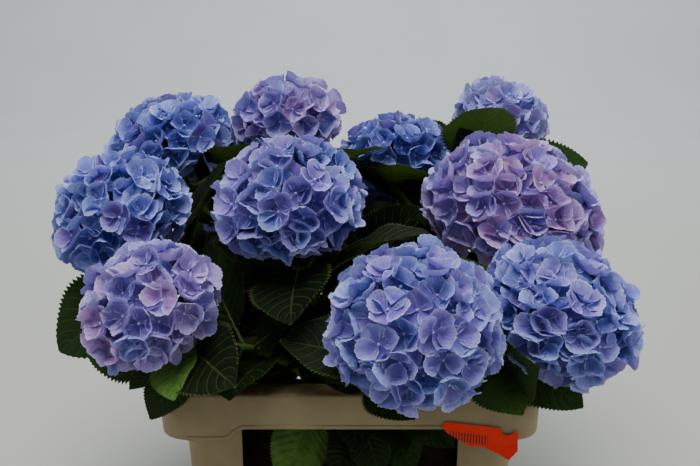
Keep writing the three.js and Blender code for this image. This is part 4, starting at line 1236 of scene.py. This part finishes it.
def make_crate(material):
    """The crate in one piece: drafted walls with windows, a ledge, and a skirt notched over each window."""
    c, w = CRATE, WINDOW
    rim_x, rim_y = c["length"] / 2, c["depth"] / 2
    foot = (rim_x - c["overhang"] - c["draft"], rim_y - c["overhang"] - c["draft"])
    top = (rim_x - c["overhang"], rim_y - c["overhang"])
    wall, corner, ease, roll = c["wall"], c["rim_corner"], c["top_ease"], c["top_round"]
    draft, skirt_foot, past = c["skirt_draft"], c["height"] - c["skirt_drop"], c["past"]

    def window(length, reach, turned_side):
        head = w["notch_top"] + w["overlap"]
        middle, rise = (w["bottom"] + head) / 2, (head - w["bottom"]) / 2
        rounded = [rounded_outline(length / 2, rise, r, 0) for r in (w["corner"], w["sill_corner"])]
        outline = [(high if high[1] > 0 else low)[:2] for high, low in zip(*rounded)]
        return through_cut("window", [(x, middle + y) for x, y in outline], reach, turned_side, material)

    def notch(length, reach, turned_side):
        half, low, high, slope = length / 2, skirt_foot - past, w["notch_top"], w["notch_slope"]
        outline = [(-half - slope, low), (half + slope, low), (half, high), (-half, high)]
        return through_cut("notch", outline, reach, turned_side, material)

    def rim(inset, corner, z):
        return rounded_outline(rim_x - inset, rim_y - inset, corner, z)

    body = drafted_block("crate_shell", foot, top, c["body_corner"], 0, c["height"], material)
    windows = [window(w["front"], top[1] + 2 * past, False), window(w["side"], top[0] + 2 * past, True)]
    combined(body, "DIFFERENCE", windows)
    skirt = skinned("skirt", [
        rim(draft, corner - draft, skirt_foot),
        rim(0, corner, c["height"] - roll),
        rim(c["top_tuck"], corner, c["height"] - roll / 2),
        rim(ease, corner, c["height"] - ease),
        rim(roll, corner - roll, c["height"]),
    ], material)
    under = skinned("under", [
        rim(draft + wall, corner - wall, skirt_foot - past),
        rim(wall, corner - wall, c["height"] - c["ledge"]),
    ], material)
    cuts = [under, notch(w["front"], c["depth"], False), notch(w["side"], c["length"], True)]
    combined(skirt, "DIFFERENCE", cuts)
    combined(body, "UNION", [skirt])
    inner = [(x - wall, y - wall) for x, y in (foot, top)]
    inner_corner, over = c["body_corner"] - wall, c["height"] + past
    hollow = drafted_block("hollow", *inner, inner_corner, c["floor"], over, material)
    combined(body, "DIFFERENCE", [hollow])
    return rounded_edges(body, width=1.4, steps=3)


def make_tub(material):
    """A copy of the growing tub with its sharp edges rounded."""
    made = linked("tub_shell", NODES["growing_tub"].data.copy())
    made.data.materials.clear()
    made.data.materials.append(material)
    return rounded_edges(made, width=1, steps=2)


def make_soil(material):
    """Crumbly soil that fills the tub to a low crown."""
    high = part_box("soil")[1]
    half_x, half_y = high[0] / MM - 1, high[1] / MM - 1
    columns, rows = 150, 104
    lumps = ((1.1, 0.11, 0.13), (0.7, 0.31, 0.27), (0.5, 0.62, 0.71))
    fall, border, sunk, rough = 6, 0.999, 1.2, 0.6
    points = []
    for j in range(rows + 1):
        for i in range(columns + 1):
            u, v = 2 * i / columns - 1, 2 * j / rows - 1
            corner = 1 - 0.05 * (u * v) ** 4
            x, y = u * half_x * corner, v * half_y * corner
            edge = max(abs(u), abs(v))
            lump = 0
            for k, (height, along, across) in enumerate(lumps):
                lump += height * math.sin(x * along + 1.7 * k) * math.sin(y * across + 0.9 * k)
            grit = 1.6 * (chance(SEEDS["soil"], i, j) - 0.5)
            z = SOIL_TOP - fall * edge**2 - sunk + (lump + grit) * rough
            if edge > border:
                z -= fall
            points.append((x, y, min(z, SOIL_TOP + 0.2)))
    return mesh_object("soil_surface", points, grid_faces(rows + 1, columns + 1), [material])


def make_lip(material):
    """The lip that stiffens the skirt's lower edge over the front window."""
    run, step = 46, 4
    roll, thick, sides = 2.6, 1.1, 8
    half, slope = WINDOW["front"] / 2, WINDOW["notch_slope"]
    face = -CRATE["depth"] / 2 - 0.2
    foot, notch = CRATE["height"] - CRATE["skirt_drop"], WINDOW["notch_top"]
    right = [(half, notch), (half + slope, foot), (half + slope + run, foot)]
    route = [(-x, z) for x, z in right[::-1]] + right
    fine = []
    for (x0, z0), (x1, z1) in zip(route, route[1:]):
        steps = max(2, int(math.hypot(x1 - x0, z1 - z0) / step))
        fine += [(x0 + (x1 - x0) * k / steps, z0 + (z1 - z0) * k / steps) for k in range(steps)]
    fine = np.array(fine + [route[-1]])
    for _ in range(3):
        fine[1:-1] = (fine[:-2] + 2 * fine[1:-1] + fine[2:]) / 4
    last = len(fine) - 1
    points = []
    for i, (x, z) in enumerate(fine):
        ahead = unit(fine[min(i + 1, last)] - fine[max(i - 1, 0)])
        thin = min(1, (min(i, last - i) + 0.3) / 4)
        y = face + CRATE["skirt_draft"] * (CRATE["height"] - z) / CRATE["skirt_drop"]
        for a in circle(sides):
            out = roll + roll * math.cos(a)
            points.append((x - ahead[1] * out, y - thick * thin * math.sin(a), z + ahead[0] * out))
    return mesh_object("front_lip", points, grid_faces(len(fine), sides, wrap=True), [material])


# The label's upper and lower edges, as x and z on the skirt's right end.
LABEL_TOP = (
    (100, 223), (102, 227), (115, 226), (129, 224), (163, 219.5), (164.5, 213), (168, 211), (175, 212),
    (181, 216.5), (182, 215),
)
LABEL_FOOT = (
    (100, 220), (106, 213), (114, 208), (123, 203), (131, 198), (141, 198.5), (152, 194), (163, 189),
    (172, 184), (182, 193),
)


def make_label(material):
    """A torn paper label stuck on the skirt's right end, its lower corner hanging free and folded."""
    columns, rows = 60, 24
    left, wide = LABEL_TOP[0][0], LABEL_TOP[-1][0] - LABEL_TOP[0][0]
    foot = min(z for _, z in LABEL_FOOT)
    tall = max(z for _, z in LABEL_TOP) - foot
    face = -CRATE["depth"] / 2 - 1
    free_below, free_drop = 205, 20
    points, local = [], []
    for j in range(rows + 1):
        for i in range(columns + 1):
            u, v = i / columns, j / rows
            x = left + wide * u
            top = np.interp(x, *zip(*LABEL_TOP)) + 0.4 * math.sin(1.9 * x)
            low = np.interp(x, *zip(*LABEL_FOOT)) + 0.3 * math.sin(1.3 * x)
            z = low * (1 - v) + top * v
            hang = max(0, free_below - z) / free_drop
            fold = 2.5 * max(0, u - 0.7) * (0.5 + 0.5 * math.sin(0.55 * (z - 0.25 * x)))
            y = face - 5.0 * hang**1.4 - fold - 0.4 * math.sin(9 * u + 4 * v) * (0.4 + hang)
            points.append((x, y, z))
            local.append((u, (z - foot) / tall))
    faces = grid_faces(rows + 1, columns + 1)
    uvs = {"label": np.array(local)[faces.ravel()]}
    return mesh_object("orange_label", points, faces, [material], uvs=uvs)


# Putting it together


def dress(piece, slot, *solids):
    """Has a piece ride on the body in place of those solids; slot, its material class, is not used."""
    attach(piece, "root")
    if solids:
        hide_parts(*solids)


def build():
    """All pieces, each in place of the solids that it stands for."""
    kinds = ("bloom_", "foliage_", "cane_")
    blooms, foliage, cane_nodes = ([kind + s.name for s in shoots] for kind in kinds)
    slots = {part["node"]: part["material_slot"] for part in frame["record"]["subparts"]}
    cream = cream_look()
    green = bark_look("stem_green", srgb(62, 84, 38), srgb(96, 122, 58), srgb(84, 112, 50))
    petals = {name: petal_look(name, tint, 11.3 * i) for i, (name, tint) in enumerate(PETAL_TINTS.items())}
    leaf_looks = [leaf_look(*row) for row in LEAF_LOOKS]

    for name, leaves in (("large", grow_leaves()), ("small", grow_small_leaves())):
        for piece in make_leaves(name, leaves, leaf_looks, green):
            dress(piece, "leaf", *foliage)

    eyes, stalks = [], Batch()
    for s in shoots:
        florets = place_florets(s)
        piece, own_eyes = make_bloom(s, florets, [petals[tint] for tint, _ in PALETTES[s.palette]])
        dress(piece, slots["bloom_" + s.name], "bloom_" + s.name)
        eyes += own_eyes
        add_stalks(stalks, s, florets)
    dress(make_hearts(eyes, bead_look()), "petals_periwinkle", *blooms)
    dress(stalks.make("bloom_stalks", [green]), "cane", *blooms)

    cane_bark = bark_look("cane_bark", srgb(74, 70, 40), srgb(108, 100, 62), srgb(72, 92, 44))
    dress(make_canes("canes", cane_bark), "cane", *cane_nodes)
    dress(make_canes("stems", green), "leaf", *foliage)
    dress(make_stool(bark_look("stool_bark", srgb(70, 56, 42), srgb(122, 104, 80))), "bark", "woody_stool")

    dress(make_soil(soil_look()), "soil", "soil")
    crate_nodes = [f"crate_{kind}_{name}" for kind in ("post", "skirt") for name in CORNERS]
    dress(make_crate(cream), "cream_plastic", "crate_base", "crate_band", *crate_nodes)
    dress(make_tub(black_look()), "black_plastic", "growing_tub")
    dress(make_lip(cream), "cream_plastic")
    dress(make_label(label_look()), "cream_plastic")


# Name, place, point aimed at, size and power of each lamp, in metres and watts.
LAMPS = (
    ("key", (-0.2, -0.4, 2.6), (0, 0, 0.3), 1.7, 66),
    ("right", (1.9, -1.0, 0.9), (0.1, 0, 0.25), 1.4, 15),
    ("left", (-1.9, -1.0, 0.9), (-0.1, 0, 0.25), 1.4, 9),
    ("wall", (0.2, 1.9, 2.9), (0.1, 2.9, 0.2), 2.4, 92),
)

# The studio, in metres: the floor's reach in front and to both sides, and where and how it bends up.
STUDIO = dict(
    reach=8.0, bend=2.4, radius=1.2, steps=12, height=4.0, drop=0.0005, sky=(0.9, 0.95, 1.0, 1),
    sky_strength=0.2,
)


def build_studio():
    """A pale floor that sweeps up into a wall well behind the plant, in metres, and four soft lamps."""
    bend, radius = STUDIO["bend"], STUDIO["radius"]
    profile = [(-STUDIO["reach"], 0.0)]
    for a in np.linspace(0, math.pi / 2, STUDIO["steps"] + 1):
        profile.append((bend + radius * math.sin(a), radius * (1 - math.cos(a))))
    profile.append((bend + radius, STUDIO["height"]))
    sides = (-STUDIO["reach"], STUDIO["reach"])
    points = np.array([(x, y, z - STUDIO["drop"]) for y, z in profile for x in sides]) / MM
    mesh_object("studio_sweep", points, grid_faces(len(profile), 2), [studio_look()])
    world = bpy.data.worlds.new("studio")
    bpy.context.scene.world = world
    world.use_nodes = True
    colour, strength = world.node_tree.nodes["Background"].inputs[:2]
    colour.default_value = STUDIO["sky"]
    strength.default_value = STUDIO["sky_strength"]
    for name, place, aim, size, power in LAMPS:
        lamp = bpy.data.lights.new(name, "AREA")
        lamp.shape = "DISK"
        lamp.size = size
        lamp.energy = power
        made = linked(name, lamp)
        made.location = place
        made.rotation_euler = (Vector(aim) - Vector(place)).to_track_quat("-Z", "Y").to_euler()


# A focal length of 1100 pixels on a picture 700 wide, and the place of the eye in metres.
VIEW = dict(sensor=36, lens=56.57, eye=(0, -1.2157, 0.7873), degrees_down=18)


def build_camera():
    """The camera at the photo's view."""
    lens = bpy.data.cameras.new("camera")
    lens.sensor_width = VIEW["sensor"]
    lens.lens = VIEW["lens"]
    camera = linked("camera", lens)
    camera.location = VIEW["eye"]
    camera.rotation_euler = (math.radians(90 - VIEW["degrees_down"]), 0, 0)
    bpy.context.scene.camera = camera


build()
build_studio()
build_camera()
